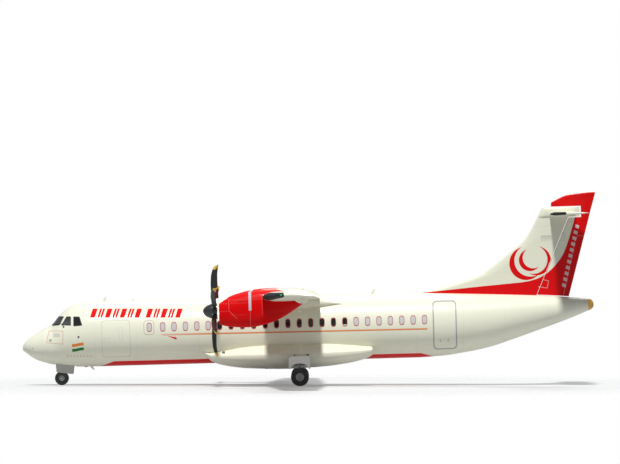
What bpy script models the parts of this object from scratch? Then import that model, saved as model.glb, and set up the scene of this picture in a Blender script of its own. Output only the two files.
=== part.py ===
"""Twin-turboprop high-wing airliner with a T-tail, standing on its wheels.

Everything is laid out in aircraft axes: x runs aft, y to starboard, z up from the fuselage's centreline, in metres.
One empty, the stance, then sets the aircraft on the ground: nose slightly down, tyres at height zero.
"""
import math

import bmesh
import bpy
from mathutils import Matrix, Vector

for old in list(bpy.data.objects):
    bpy.data.objects.remove(old)

# Driving dimensions
GROUND_PITCH = math.radians(1.6)
STANCE_HEIGHT = 2.590
STANCE_SHIFT = -0.0723
SEAT_GAP = 0.0004
DOOR_GAP = 0.02
RING_SIDES = 32
WHEEL_SIDES = 24

BARREL_RADIUS = 1.45
NOSE_X = -12.95
RADOME_X = -12.05
TAIL_CAP_X = 12.76
TAIL_END_X = 13.02
STAIR_THICKNESS = 0.06
CARGO_THICKNESS = 0.035

ENGINE_Y = 4.05
THRUST_Z = 0.93
PROP_X = -4.14
PROP_RADIUS = 2.05
BLADES = 6
SPINNER_RADIUS = 0.36
SPINNER_SEAT_RADIUS = 0.31
SPINNER_TIP_X = -4.66
SPINNER_BACK_X = -4.015
SHAFT_RADIUS = 0.06
RUNNING_FIT = 1.0 / math.cos(math.pi / 24) + 0.0005

HALF_SPAN = 13.525
WING_KINK_Y = 4.6
WING_ROOT_CHORD = 2.57
WING_TIP_CHORD = 1.59
WING_LEADING_X = -1.976
WING_TIP_LEADING_X = -1.27
WING_Z = 1.51
WING_DIHEDRAL = math.radians(0.9)
WING_INCIDENCE = math.radians(3.0)
WING_ROOT_THICKNESS = 0.17
WING_TIP_THICKNESS = 0.13

TAILPLANE_HALF_SPAN = 3.655
TAILPLANE_Z = 4.90
RUDDER_HINGE_FOOT = (10.485, 1.00)
RUDDER_HINGE_HEAD = (12.19, 5.00)

MAIN_WHEEL_X = -0.40
MAIN_TRACK_HALF = 2.05
MAIN_TYRE_RADIUS = 0.41
MAIN_TYRE_WIDTH = 0.25
MAIN_RIM_RADIUS = 0.215
MAIN_TWIN_HALF = 0.215
NOSE_WHEEL_X = -11.21
NOSE_TYRE_RADIUS = 0.315
NOSE_TYRE_WIDTH = 0.17
NOSE_RIM_RADIUS = 0.15
NOSE_TWIN_HALF = 0.16
AXLE_RADIUS = 0.045

HINGE_PIN_RADIUS = 0.02
HINGE_PIN_LENGTH = 0.05
END_GAP = 0.03


# Materials

def paint(name, colour, roughness=0.3, metallic=0.0):
    """A plain finish: a Principled BSDF with its colour, roughness and metallic value."""
    material = bpy.data.materials.new(name)
    material.use_nodes = True
    shader = material.node_tree.nodes["Principled BSDF"]
    shader.inputs["Base Color"].default_value = (*colour, 1.0)
    shader.inputs["Roughness"].default_value = roughness
    shader.inputs["Metallic"].default_value = metallic
    return material


WHITE = paint("white_paint", (0.84, 0.84, 0.78))
RED = paint("red_paint", (0.76, 0.01, 0.01))
AMBER = paint("amber_lens", (0.80, 0.42, 0.04), 0.2)
GLASS = paint("dark_glass", (0.03, 0.03, 0.035), 0.1)
RUBBER = paint("rubber", (0.02, 0.02, 0.02), 0.8)
METAL = paint("grey_metal", (0.30, 0.30, 0.31), 0.4, 0.7)
BLADE = paint("blade_black", (0.02, 0.02, 0.025), 0.4)
STEEL = paint("gear_steel", (0.10, 0.10, 0.10), 0.5, 0.5)


# Mesh helpers

def stance_matrix():
    """The move from aircraft axes to the ground."""
    turn = Matrix.Rotation(-GROUND_PITCH, 4, "Y")
    return Matrix.Translation((STANCE_SHIFT, 0.0, STANCE_HEIGHT)) @ turn


STANCE = bpy.data.objects.new("stance", None)
bpy.context.scene.collection.objects.link(STANCE)
STANCE.matrix_world = stance_matrix()


def add_object(name, mesh, material, parent=STANCE):
    """Links a mesh as an object with its material, smooth where the faces meet gently."""
    mesh.shade_smooth()
    mesh.set_sharp_from_angle(angle=math.radians(32))
    if material:
        mesh.materials.append(material)
    made = bpy.data.objects.new(name, mesh)
    bpy.context.scene.collection.objects.link(made)
    made.parent = parent
    return made


def is_flat(face):
    base = face.verts[0].co
    return all(abs((vert.co - base).dot(face.normal)) < 1e-7 for vert in face.verts)


def mesh_of(name, points, faces):
    """A closed mesh with its faces turned outwards."""
    mesh = bpy.data.meshes.new(name)
    mesh.from_pydata([tuple(p) for p in points], [], faces)
    form = bmesh.new()
    form.from_mesh(mesh)
    bmesh.ops.remove_doubles(form, verts=form.verts, dist=1e-6)
    bmesh.ops.dissolve_degenerate(form, dist=1e-6, edges=form.edges)
    bent = [face for face in form.faces if len(face.verts) == 4 and not is_flat(face)]
    bmesh.ops.triangulate(form, faces=bent)
    bmesh.ops.recalc_face_normals(form, faces=form.faces)
    form.to_mesh(mesh)
    form.free()
    return mesh


def loft_mesh(name, rings):
    """Skins a list of closed rings with the same count of points. A ring of one point is a pole."""
    points, faces, starts = [], [], []
    for ring in rings:
        starts.append(len(points))
        points.extend(ring)
    for index in range(len(rings) - 1):
        first, second = rings[index], rings[index + 1]
        a, b = starts[index], starts[index + 1]
        count = max(len(first), len(second))
        for i in range(count):
            j = (i + 1) % count
            if len(first) == 1:
                faces.append((a, b + j, b + i))
            elif len(second) == 1:
                faces.append((a + i, a + j, b))
            else:
                faces.append((a + i, a + j, b + j, b + i))
    for ring, start in ((rings[0], starts[0]), (rings[-1], starts[-1])):
        if len(ring) > 1:
            faces.append(tuple(range(start, start + len(ring))))
    return mesh_of(name, points, faces)


def lofted(name, rings, material, parent=STANCE):
    return add_object(name, loft_mesh(name, rings), material, parent)


def turned(name, profile, centre, axis, material, sides=WHEEL_SIDES, parent=STANCE, phase=0.5):
    """Turns a closed profile of (distance along the axis, radius) about a line through centre.

    A profile that starts and ends on the axis makes a solid piece, and any other one makes a ring.
    """
    direction = Vector(axis).normalized()
    side = direction.cross(Vector((0.0, 0.0, 1.0)))
    if side.length < 0.1:
        side = direction.cross(Vector((1.0, 0.0, 0.0)))
    side.normalize()
    lift = side.cross(direction)
    solid = profile[0][1] == 0.0 and profile[-1][1] == 0.0
    rings = []
    poles = {0, len(profile) - 1} if solid else set()
    for number, (along, radius) in enumerate(profile):
        base = Vector(centre) + direction * along
        if number in poles:
            if abs(along - profile[1 if number == 0 else -2][0]) > 1e-9:
                rings.append([base])
            continue
        ring = []
        for i in range(sides):
            angle = 2.0 * math.pi * (i + phase) / sides
            ring.append(base + side * (radius * math.cos(angle)) + lift * (radius * math.sin(angle)))
        rings.append(ring)
    if solid:
        return lofted(name, rings, material, parent)
    points = [point for ring in rings for point in ring]
    faces = []
    for index in range(len(rings)):
        a, b = index * sides, ((index + 1) % len(rings)) * sides
        for i in range(sides):
            j = (i + 1) % sides
            faces.append((a + i, a + j, b + j, b + i))
    return add_object(name, mesh_of(name, points, faces), material, parent)


def rod(name, start, end, radius, material=None, sides=16, parent=STANCE):
    """A straight round bar between two points."""
    line = Vector(end) - Vector(start)
    profile = [(0.0, 0.0), (0.0, radius), (line.length, radius), (line.length, 0.0)]
    return turned(name, profile, start, line, material, sides, parent)


def box(name, low, high, material=None, parent=STANCE):
    (x0, y0, z0), (x1, y1, z1) = low, high
    rings = [[(x, y0, z0), (x, y1, z0), (x, y1, z1), (x, y0, z1)] for x in (x0, x1)]
    return lofted(name, rings, material, parent)


def prism(name, outline, y0, y1, material=None, parent=STANCE):
    """A side-view outline of (x, z) points, carried across from y0 to y1."""
    rings = [[(x, y, z) for x, z in outline] for y in (y0, y1)]
    return lofted(name, rings, material, parent)


def helper(made):
    """Marks a cutter or a guide, which isn't a piece of the aircraft."""
    made.hide_render = True
    made.display_type = "WIRE"
    return made


def combine(made, others, operation):
    """Cuts, joins or intersects a piece with each of the others, in order."""
    for other in others:
        modifier = made.modifiers.new(operation.lower() + "_" + other.name, "BOOLEAN")
        modifier.operation = operation
        modifier.object = other
        modifier.solver = "EXACT"
    return made


def cut(made, *others):
    return combine(made, [helper(o) for o in others], "DIFFERENCE")


def join(made, *others):
    return combine(made, [helper(o) for o in others], "UNION")


def rounded(x0, x1, z0, z1, radius, steps=4):
    """The outline of a rectangle with round corners, in (x, z)."""
    outline = []
    corners = ((x1 - radius, z1 - radius, 0), (x0 + radius, z1 - radius, 1),
               (x0 + radius, z0 + radius, 2), (x1 - radius, z0 + radius, 3))
    for cx, cz, quarter in corners:
        for step in range(steps + 1):
            angle = math.pi / 2.0 * (quarter + step / steps)
            outline.append((cx + radius * math.cos(angle), cz + radius * math.sin(angle)))
    return outline


def smooth_value(stations, column, x):
    """Reads one column of a station table at x, along a curve that never overshoots its points."""
    last = len(stations) - 1
    if x <= stations[0][0]:
        return stations[0][column]
    if x >= stations[last][0]:
        return stations[last][column]
    i = max(k for k in range(last) if stations[k][0] <= x)

    def slope(k):
        if k in (0, last):
            return None
        before = (stations[k][column] - stations[k - 1][column]) / (stations[k][0] - stations[k - 1][0])
        after = (stations[k + 1][column] - stations[k][column]) / (stations[k + 1][0] - stations[k][0])
        if before * after <= 0.0:
            return 0.0
        return 2.0 * before * after / (before + after)

    span = stations[i + 1][0] - stations[i][0]
    rise = stations[i + 1][column] - stations[i][column]
    start, end = slope(i), slope(i + 1)
    start = rise / span if start is None else start
    end = rise / span if end is None else end
    t = (x - stations[i][0]) / span
    return (stations[i][column] * (2 * t ** 3 - 3 * t ** 2 + 1) + span * start * (t ** 3 - 2 * t ** 2 + t)
            + stations[i + 1][column] * (3 * t ** 2 - 2 * t ** 3) + span * end * (t ** 3 - t ** 2))


def oval_ring(x, y, top, bottom, half_width, upper=2.0, lower=2.0, sides=RING_SIDES):
    """A ring across the aircraft: a superellipse above its waist and another below."""
    waist = (top + bottom) / 2.0
    ring = []
    for i in range(sides):
        angle = 2.0 * math.pi * i / sides
        c, s = math.cos(angle), math.sin(angle)
        power = upper if s >= 0.0 else lower
        across = math.copysign(abs(c) ** (2.0 / power), c)
        up = math.copysign(abs(s) ** (2.0 / power), s)
        ring.append((x, y + half_width * across, waist + (top - bottom) / 2.0 * up))
    return ring


# Fuselage: station, crown, keel and half width

FUSELAGE_STATIONS = (
    (-12.90, -0.39, -0.69, 0.17),
    (-12.79, -0.25, -0.78, 0.32),
    (-12.52, -0.04, -0.99, 0.57),
    (-12.24, 0.13, -1.14, 0.77),
    (-11.96, 0.29, -1.23, 0.92),
    (-11.60, 0.48, -1.325, 1.06),
    (-11.26, 0.87, -1.38, 1.17),
    (-10.98, 1.12, -1.425, 1.25),
    (-10.70, 1.28, -1.45, 1.32),
    (-10.30, 1.40, -1.465, 1.39),
    (-9.60, 1.46, -1.475, 1.45),
    (4.90, 1.45, -1.475, 1.45),
    (6.00, 1.42, -1.43, 1.42),
    (7.10, 1.37, -1.30, 1.33),
    (8.20, 1.32, -1.10, 1.20),
    (9.30, 1.265, -0.77, 1.03),
    (10.90, 1.17, -0.24, 0.72),
    (12.00, 1.07, 0.14, 0.47),
    (TAIL_CAP_X, 0.99, 0.44, 0.27),
)
NOSE_Z = -0.556


def fuselage_ring(x, offset=0.0, sides=RING_SIDES):
    """The fuselage's section at x, moved in or out by offset."""
    top = smooth_value(FUSELAGE_STATIONS, 1, x) + offset
    bottom = smooth_value(FUSELAGE_STATIONS, 2, x) - offset
    width = smooth_value(FUSELAGE_STATIONS, 3, x) + offset
    return oval_ring(x, 0.0, top, bottom, width, sides=sides)


def fuselage_body(name, x0, x1, offset=0.0, material=None):
    """A length of the fuselage's form, with its frames close together where the form bends."""
    frames = [-12.90, -12.79, -12.52, -12.24, -11.96, -11.78, -11.60, -11.38, -11.26, -11.12, -10.98, -10.84,
              -10.70, -10.30, -9.60, -2.00, 4.90, 5.45, 6.00, 6.55, 7.10, 8.20, 9.30, 10.90, 12.00]
    xs = [x0] + [x for x in frames if x0 + 0.02 < x < x1 - 0.02] + [x1]
    return lofted(name, [fuselage_ring(x, offset) for x in xs], material)


def skin_y(x, z, offset=0.0):
    """How far out the skin lies at a station and a height."""
    top = smooth_value(FUSELAGE_STATIONS, 1, x) + offset
    bottom = smooth_value(FUSELAGE_STATIONS, 2, x) - offset
    width = smooth_value(FUSELAGE_STATIONS, 3, x) + offset
    share = (z - (top + bottom) / 2.0) / ((top - bottom) / 2.0)
    return width * math.sqrt(max(0.0, 1.0 - share * share))


def make_radome():
    tip = [(NOSE_X, 0.0, NOSE_Z)]
    xs = [-12.90, -12.79, -12.66, -12.52, -12.38, -12.24, RADOME_X - SEAT_GAP]
    lofted("radome", [tip] + [fuselage_ring(x) for x in xs], WHITE)


def make_tail_cap():
    """The amber light dome at the tail's tip."""
    length = TAIL_END_X - TAIL_CAP_X
    rings = []
    for step in range(5):
        angle = math.pi / 2.0 * step / 5.0
        x = TAIL_CAP_X + SEAT_GAP + length * math.sin(angle)
        rings.append(oval_ring(x, 0.0, 0.72 + 0.27 * math.cos(angle), 0.72 - 0.27 * math.cos(angle),
                               0.265 * math.cos(angle), sides=20))
    rings.append([(TAIL_END_X, 0.0, 0.72)])
    lofted("tail_light", rings, AMBER)


# Openings in the skin: side-view limits (x0, x1, z0, z1) and corner radius

STAIR_DOOR = (5.70, 6.73, -1.10, 1.06, 0.16)
CARGO_DOOR = (-9.30, -8.03, -1.05, 0.60, 0.08)
SERVICE_DOOR = (5.80, 6.50, -0.62, 0.72, 0.12)
HATCH = (-7.39, -6.94, -0.08, 0.55, 0.12)
STAIR_RECESS = 0.42
CARGO_RECESS = 0.30
PLUG_DEPTH = 0.05
GLAZING = ((-11.95, 0.42), (-11.55, 0.83), (-10.32, 0.83), (-10.20, 0.42))
GLAZING_DEPTH = 0.05


def panel(name, opening, side, depth, material=WHITE, clearance=0.0):
    """A piece of the skin inside an opening's outline, as thick as depth. side is -1 to port and 1 to starboard."""
    x0, x1, z0, z1, radius = opening
    made = fuselage_body(name, x0 - 0.5, x1 + 0.5, material=material)
    outline = rounded(x0 + clearance, x1 - clearance, z0 + clearance, z1 - clearance, radius)
    window = prism(name + "_outline", outline, side * 0.3, side * 2.2)
    core = fuselage_body(name + "_core", x0 - 0.8, x1 + 0.8, -depth)
    combine(made, [helper(window)], "INTERSECT")
    return cut(made, core)


def recess(name, opening, side, depth):
    """The pocket that a panel sits in: the opening's outline, down to depth below the skin."""
    x0, x1, z0, z1, radius = opening
    made = prism(name, rounded(x0, x1, z0, z1, radius), side * 0.3, side * 2.2)
    core = fuselage_body(name + "_core", x0 - 0.8, x1 + 0.8, -depth)
    return helper(cut(made, core))


def make_glazing():
    """The wrap-round band of flight-deck glass."""
    made = fuselage_body("flight_deck_glazing", -11.80, -10.00, material=GLASS)
    window = prism("glazing_outline", GLAZING, -2.0, 2.0)
    core = fuselage_body("glazing_core", -12.0, -9.8, -GLAZING_DEPTH + SEAT_GAP)
    combine(made, [helper(window)], "INTERSECT")
    return cut(made, core)


def glazing_recess():
    cx = sum(x for x, _ in GLAZING) / len(GLAZING)
    cz = sum(z for _, z in GLAZING) / len(GLAZING)
    grow = 1.0 + SEAT_GAP / 0.2
    outline = [(cx + (x - cx) * grow, cz + (z - cz) * grow) for x, z in GLAZING]
    made = prism("glazing_recess", outline, -2.0, 2.0)
    core = fuselage_body("glazing_recess_core", -12.2, -9.6, -GLAZING_DEPTH)
    return helper(cut(made, core))


NOSE_BAY = (-11.52, -10.56, 0.33, -1.12)


def make_fuselage():
    shell = fuselage_body("fuselage", RADOME_X, TAIL_CAP_X, material=WHITE)
    x0, x1, half, roof = NOSE_BAY
    bay = box("nose_gear_bay", (x0, -half, -1.8), (x1, half, roof))
    slot = wing_envelope("wing_slot_in_fuselage", SEAT_GAP)
    cut(shell, slot, bay, glazing_recess(),
        recess("stair_door_recess", STAIR_DOOR, -1, STAIR_RECESS),
        recess("cargo_door_recess", CARGO_DOOR, -1, CARGO_RECESS),
        recess("service_door_recess", SERVICE_DOOR, 1, PLUG_DEPTH + SEAT_GAP),
        recess("port_hatch_recess", HATCH, -1, PLUG_DEPTH + SEAT_GAP),
        recess("starboard_hatch_recess", HATCH, 1, PLUG_DEPTH + SEAT_GAP))
    return shell


# Lifting surfaces

def airfoil(share, thickness, camber=0.02):
    """Upper and lower height at a share of the chord, both as shares of the chord."""
    half = 5.0 * thickness * (0.2969 * math.sqrt(share) - 0.1260 * share - 0.3516 * share ** 2
                              + 0.2843 * share ** 3 - 0.1015 * share ** 4)
    line = camber * 4.0 * share * (1.0 - share)
    edge = 0.0025
    return line + half + edge * share, line - half - edge * share


def chord_shares(count=9):
    return [(1.0 - math.cos(math.pi * i / count)) / 2.0 for i in range(count + 1)]


class Section:
    """One airfoil section: where its leading edge is, its chord, thickness and incidence."""

    def __init__(self, origin, chord, thickness, incidence=0.0, camber=0.0, upright=False):
        self.origin = Vector(origin)
        self.chord = chord
        self.thickness = thickness
        self.incidence = incidence
        self.camber = camber
        self.upright = upright

    def place(self, along, off):
        """A point at a share of the chord, and a height off the chord line as a share too."""
        c, s = math.cos(self.incidence), math.sin(self.incidence)
        x = self.chord * (along * c + off * s)
        h = self.chord * (off * c - along * s)
        if self.upright:
            return self.origin + Vector((x, h, 0.0))
        return self.origin + Vector((x, 0.0, h))

    def ring(self, grow=0.0):
        """The whole outline, trailing edge to trailing edge over the top and back underneath."""
        shares = chord_shares()
        margin = grow / self.chord
        upper = [self.place(t, airfoil(t, self.thickness, self.camber)[0] + margin) for t in reversed(shares)]
        lower = [self.place(t, airfoil(t, self.thickness, self.camber)[1] - margin) for t in shares[1:]]
        if grow:
            upper[-1] = self.place(-margin, 0.0)
            upper[0] = self.place(1.0 + margin, upper_edge(self, 1.0) + margin)
            lower[-1] = self.place(1.0 + margin, airfoil(1.0, self.thickness, self.camber)[1] - margin)
        return upper + lower

    def hinge(self, share):
        """The hinge's centre and the nose radius of a surface that starts at a share of the chord."""
        upper, lower = airfoil(share, self.thickness, self.camber)
        return self.place(share, (upper + lower) / 2.0), self.chord * (upper - lower) / 2.0

    def tail_ring(self, share, nose_steps=6):
        """The outline of the hinged part aft of a share of the chord, with a round nose."""
        upper, lower = airfoil(share, self.thickness, self.camber)
        middle, radius = (upper + lower) / 2.0, (upper - lower) / 2.0
        ring = []
        for step in range(nose_steps + 1):
            angle = math.pi / 2.0 + math.pi * step / nose_steps
            ring.append(self.place(share + radius * math.cos(angle), middle + radius * math.sin(angle)))
        aft = (share + 2.0) / 3.0
        ring.append(self.place(aft, airfoil(aft, self.thickness, self.camber)[1]))
        ring.append(self.place(1.0, airfoil(1.0, self.thickness, self.camber)[1]))
        ring.append(self.place(1.0, upper_edge(self, 1.0)))
        ring.append(self.place(aft, upper_edge(self, aft)))
        return ring


def upper_edge(section, share):
    return airfoil(share, section.thickness, section.camber)[0]


def mix(a, b, t):
    return a + (b - a) * t


def wing_section(y):
    """The wing's section at a distance from the centreline; it is straight to the kink and tapers beyond."""
    t = max(0.0, (abs(y) - WING_KINK_Y) / (HALF_SPAN - WING_KINK_Y))
    rise = max(0.0, abs(y) - WING_KINK_Y) * math.tan(WING_DIHEDRAL)
    origin = (mix(WING_LEADING_X, WING_TIP_LEADING_X, t), y, WING_Z + rise)
    chord = mix(WING_ROOT_CHORD, WING_TIP_CHORD, t)
    return Section(origin, chord, mix(WING_ROOT_THICKNESS, WING_TIP_THICKNESS, t), WING_INCIDENCE, 0.02)


def wing_tip_rings(side):
    """The rounded tip: sections that shrink towards the tip's end."""
    rings = []
    for share, scale in ((0.0, 1.0), (0.5, 0.93), (0.85, 0.78), (1.0, 0.55)):
        y = side * (HALF_SPAN - 0.30 + 0.30 * share)
        section = wing_section(y)
        full = section.chord
        section.origin += Vector((full * (1.0 - scale) * 0.55, 0.0, -0.02 * share))
        section.chord = full * scale
        section.thickness *= scale
        rings.append(section.ring())
    return rings


def wing_envelope(name, grow):
    """The centre part of the wing's form, a little fat, for cutting its seats in the pieces that hold it."""
    reach = 5.4
    rings = [wing_section(y).ring(grow) for y in (-reach, -WING_KINK_Y, WING_KINK_Y, reach)]
    return helper(lofted(name, rings, None))


CONTROL_HINGE = 0.72
WING_SURFACES = (
    ("inner_flap", 1.42, 3.42, 0.70),
    ("outer_flap", 4.78, 9.10, 0.70),
    ("aileron", 9.22, 12.95, 0.72),
)


def hinge_line(section_at, y0, y1, share):
    """The two ends of a hinge's axis."""
    return section_at(y0).hinge(share)[0], section_at(y1).hinge(share)[0]


def notch(name, section_at, y0, y1, share):
    """The space in the fixed surface that a hinged part and its gap take."""
    rings = []
    for y in (y0, y1):
        section = section_at(y)
        centre, radius = section.hinge(share)
        front = centre.x - radius - 0.02
        rings.append([(front, y, centre.z - 0.6), (front + 4.0, y, centre.z - 0.6),
                      (front + 4.0, y, centre.z + 0.6), (front, y, centre.z + 0.6)])
    return helper(lofted(name, rings, None))


def pin_pair(name, start, end):
    """Two short pins on a hinge's axis, one past each end, and the matching blind bores."""
    line = (end - start).normalized()
    reach = HINGE_PIN_LENGTH + END_GAP
    pins, bores = [], []
    bore_radius = HINGE_PIN_RADIUS * 1.02 + SEAT_GAP
    for tag, foot, way in (("a", start, -line), ("b", end, line)):
        pins.append(rod(name + "_pin_" + tag, foot - way * 0.10, foot + way * (reach - 0.002),
                        HINGE_PIN_RADIUS, sides=12))
        bores.append(rod(name + "_bore_" + tag, foot - way * 0.02, foot + way * reach, bore_radius, sides=12))
    return pins, [helper(b) for b in bores]


BRACKET_STATIONS = (5.9, 8.1)
BRACKET_HALF_WIDTH = 0.045
BRACKET_SLOT_HALF_WIDTH = 0.060
BRACKET_REACH = 0.30
BRACKET_SLOT_REACH = 0.325
BRACKET_OUTLINE = ((-0.52, 0.03), (-0.34, -0.17), (-0.08, -0.30), (0.06, -0.29), (0.19, -0.23), (0.28, -0.10))


def bracket_pieces(label, y):
    """A fixed fairing round a flap's hinge bracket, and the slot in the flap that clears it at every setting."""
    section = wing_section(y)
    share = WING_SURFACES[1][3]
    hinge = section.hinge(share)[0]
    outline = [(hinge.x + x, hinge.z + z) for x, z in BRACKET_OUTLINE]
    for along in (0.72, 0.62, 0.52):
        off = airfoil(along, section.thickness, section.camber)[0]
        point = section.place(along, off - 0.012)
        outline.append((min(point.x, hinge.x + BRACKET_REACH - 0.01), point.z))
    fairing = prism(label, outline, y - BRACKET_HALF_WIDTH, y + BRACKET_HALF_WIDTH)
    slot = box(label + "_slot", (hinge.x - 0.4, y - BRACKET_SLOT_HALF_WIDTH, hinge.z - 0.6),
               (hinge.x + BRACKET_SLOT_REACH, y + BRACKET_SLOT_HALF_WIDTH, hinge.z + 0.6))
    return fairing, slot


def make_wing():
    """Each half is one piece from the centreline out, with a notch for every hinged surface."""
    for side, word in ((-1, "port"), (1, "starboard")):
        middle = side * SEAT_GAP
        ys = [middle, side * WING_KINK_Y, side * 9.2, side * (HALF_SPAN - 0.30)]
        rings = [wing_section(y).ring() for y in ys[:-1]] + wing_tip_rings(side)
        half = lofted("wing_" + word, rings, WHITE)
        cutters = []
        for name, y0, y1, share in WING_SURFACES:
            label = name + "_" + word
            start, end = side * y0, side * y1
            cutters.append(notch(label + "_notch", wing_section, start, end, share))
            inner = side * (y0 + END_GAP)
            outer = side * (y1 - END_GAP)
            surface = lofted(label, [wing_section(inner).tail_ring(share), wing_section(outer).tail_ring(share)],
                             WHITE)
            pins, bores = pin_pair(label, *hinge_line(wing_section, inner, outer, share))
            join(surface, *pins)
            cutters.extend(bores)
            if name == "outer_flap":
                brackets = [bracket_pieces("flap_bracket_%d_%s" % (number, word), side * y)
                            for number, y in enumerate(BRACKET_STATIONS)]
                cut(surface, *[slot for _, slot in brackets])
        cut(half, *cutters)
        join(half, *[fairing for fairing, _ in brackets])


# Jacking pads: (x, y, z of the flat face, z inside the skin)

JACK_PAD_RADIUS = 0.07
NOSE_JACK_PAD = (-10.10, 0.0, -1.495, -1.40)
MAIN_JACK_PADS = ((-1.90, -0.90, -1.785, -1.60), (-1.90, 0.90, -1.785, -1.60))


def jack_pad(name, spot):
    """A short round boss with a flat face, which a jack's head bears on."""
    x, y, face, root = spot
    return rod(name, (x, y, root), (x, y, face), JACK_PAD_RADIUS, sides=16)


# Antennas along the crown and the keel: foot x, length, height (below the keel if negative), lean aft

ANTENNAS = ((-9.30, 0.15, 0.21, 0.10), (-7.95, 0.10, 0.10, 0.03), (2.86, 0.16, 0.22, 0.13), (-9.95, 0.14, -0.15, 0.14),
            (7.9, 0.14, -0.12, 0.07))
ANTENNA_HALF_WIDTH = 0.012


def antenna(number, x, length, height, lean):
    """A thin blade antenna with its foot sunk in the skin."""
    column = 1 if height > 0.0 else 2
    root = smooth_value(FUSELAGE_STATIONS, column, x)
    sink = math.copysign(0.05, height)
    outline = [(x, root - sink), (x + length, root - sink), (x + length, root + 0.02 * math.copysign(1, height)),
               (x + 0.75 * length + lean, root + height), (x + 0.25 * length + lean, root + height),
               (x, root + 0.02 * math.copysign(1, height))]
    return prism("antenna_%d" % number, outline, -ANTENNA_HALF_WIDTH, ANTENNA_HALF_WIDTH)


# Wing root fairing, station, crown, keel and half width

WING_FAIRING_STATIONS = (
    (-3.30, 1.10, 1.02, 0.97),
    (-2.70, 1.46, 0.86, 1.13),
    (-2.00, 1.80, 0.70, 1.26),
    (-1.10, 1.84, 0.62, 1.31),
    (-0.10, 1.72, 0.66, 1.28),
    (0.62, 1.47, 0.80, 1.20),
    (1.15, 1.27, 0.94, 1.10),
    (1.70, 1.10, 1.04, 0.985),
)


def station_loft(name, stations, y=0.0, upper=2.0, lower=2.0, sides=RING_SIDES, material=None, grow=0.0):
    """Skins a station table of (x, crown, keel, half width)."""
    rings = [oval_ring(x, y, top + grow, bottom - grow, width + grow, upper, lower, sides)
             for x, top, bottom, width in stations]
    return lofted(name, rings, material)


def make_wing_fairing():
    made = station_loft("wing_fairing", WING_FAIRING_STATIONS, upper=2.6, lower=2.2, material=WHITE)
    cut(made, fuselage_body("fuselage_under_wing_fairing", -4.0, 2.5, SEAT_GAP),
        wing_envelope("wing_slot_in_fairing", SEAT_GAP))


# Main gear fairing along the belly, station, crown, keel and half width

GEAR_FAIRING_STATIONS = (
    (-4.75, -0.90, -0.98, 1.12),
    (-4.40, -0.82, -1.38, 1.32),
    (-3.70, -0.68, -1.61, 1.62),
    (-2.70, -0.52, -1.75, 1.90),
    (-1.00, -0.46, -1.82, 2.02),
    (0.60, -0.49, -1.765, 1.99),
    (1.70, -0.57, -1.65, 1.87),
    (2.45, -0.67, -1.50, 1.69),
    (2.80, -0.73, -1.37, 1.58),
    (2.91, -0.79, -1.30, 1.51),
)
WHEEL_WELL = (-0.93, 0.13, 1.56, 2.30, -1.14)
WELL_MOUTH_STEP = 0.0


def make_gear_fairing():
    made = station_loft("gear_fairing", GEAR_FAIRING_STATIONS, upper=1.55, lower=2.7, sides=40, material=WHITE)
    cutters = [fuselage_body("fuselage_in_gear_fairing", -5.5, 3.6, SEAT_GAP)]
    x0, x1, y0, y1, roof = WHEEL_WELL
    for side in (-1, 1):
        low = (x0, min(side * y0, side * y1), -2.2)
        high = (x1, max(side * y0, side * y1), roof)
        cutters.append(box("wheel_well_" + str(side + 1), low, high))
    cut(made, *cutters)
    join(made, *[jack_pad("main_jack_pad_%d" % number, spot) for number, spot in enumerate(MAIN_JACK_PADS)])


# Engine nacelles, station, crown, keel and half width

NACELLE_STATIONS = (
    (-3.94, 1.26, 0.34, 0.37),
    (-3.76, 1.37, 0.27, 0.43),
    (-3.48, 1.52, 0.21, 0.48),
    (-3.02, 1.66, 0.17, 0.51),
    (-2.56, 1.76, 0.16, 0.53),
    (-2.00, 1.82, 0.24, 0.53),
    (-1.42, 1.83, 0.42, 0.51),
    (-0.95, 1.72, 0.64, 0.47),
    (-0.50, 1.56, 0.92, 0.40),
    (-0.14, 1.38, 1.17, 0.26),
)


def make_nacelle(side, word):
    y = side * ENGINE_Y
    made = station_loft("nacelle_" + word, NACELLE_STATIONS, y, 2.3, 2.5, 28, RED)
    mouth = [[(x, y + a * width, 0.50 + b * height) for a, b in MOUTH_OUTLINE]
             for x, width, height in ((-4.10, 0.24, 0.085), (-3.9, 0.23, 0.08), (-3.35, 0.18, 0.06))]
    shaft = rod("shaft_" + word, (-3.8, y, THRUST_Z), (PROP_X + 0.045, y, THRUST_Z), SHAFT_RADIUS,
                sides=WHEEL_SIDES)
    cut(made, wing_envelope("wing_slot_in_nacelle_" + word, SEAT_GAP), lofted("mouth_" + word, mouth, None))
    join(made, shaft)
    exhaust_x, exhaust_z = -2.60, 1.14
    inboard = side * (ENGINE_Y - 0.46)
    foot = (exhaust_x, inboard, exhaust_z)
    end = (exhaust_x + 0.52, inboard - side * 0.20, exhaust_z - 0.02)
    pipe = rod("exhaust_" + word, foot, end, 0.13, METAL, 20)
    hollow = rod("exhaust_hollow_" + word, Vector(foot).lerp(Vector(end), 0.45),
                 Vector(foot).lerp(Vector(end), 1.2), 0.105, sides=20)
    seat = station_loft("nacelle_under_exhaust_" + word, NACELLE_STATIONS, y, 2.3, 2.5, 28, None, 2.0 * SEAT_GAP)
    cut(pipe, seat, hollow)
    return made


MOUTH_OUTLINE = [(math.cos(2 * math.pi * i / 16) , math.sin(2 * math.pi * i / 16)) for i in range(16)]


# Propellers

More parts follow.
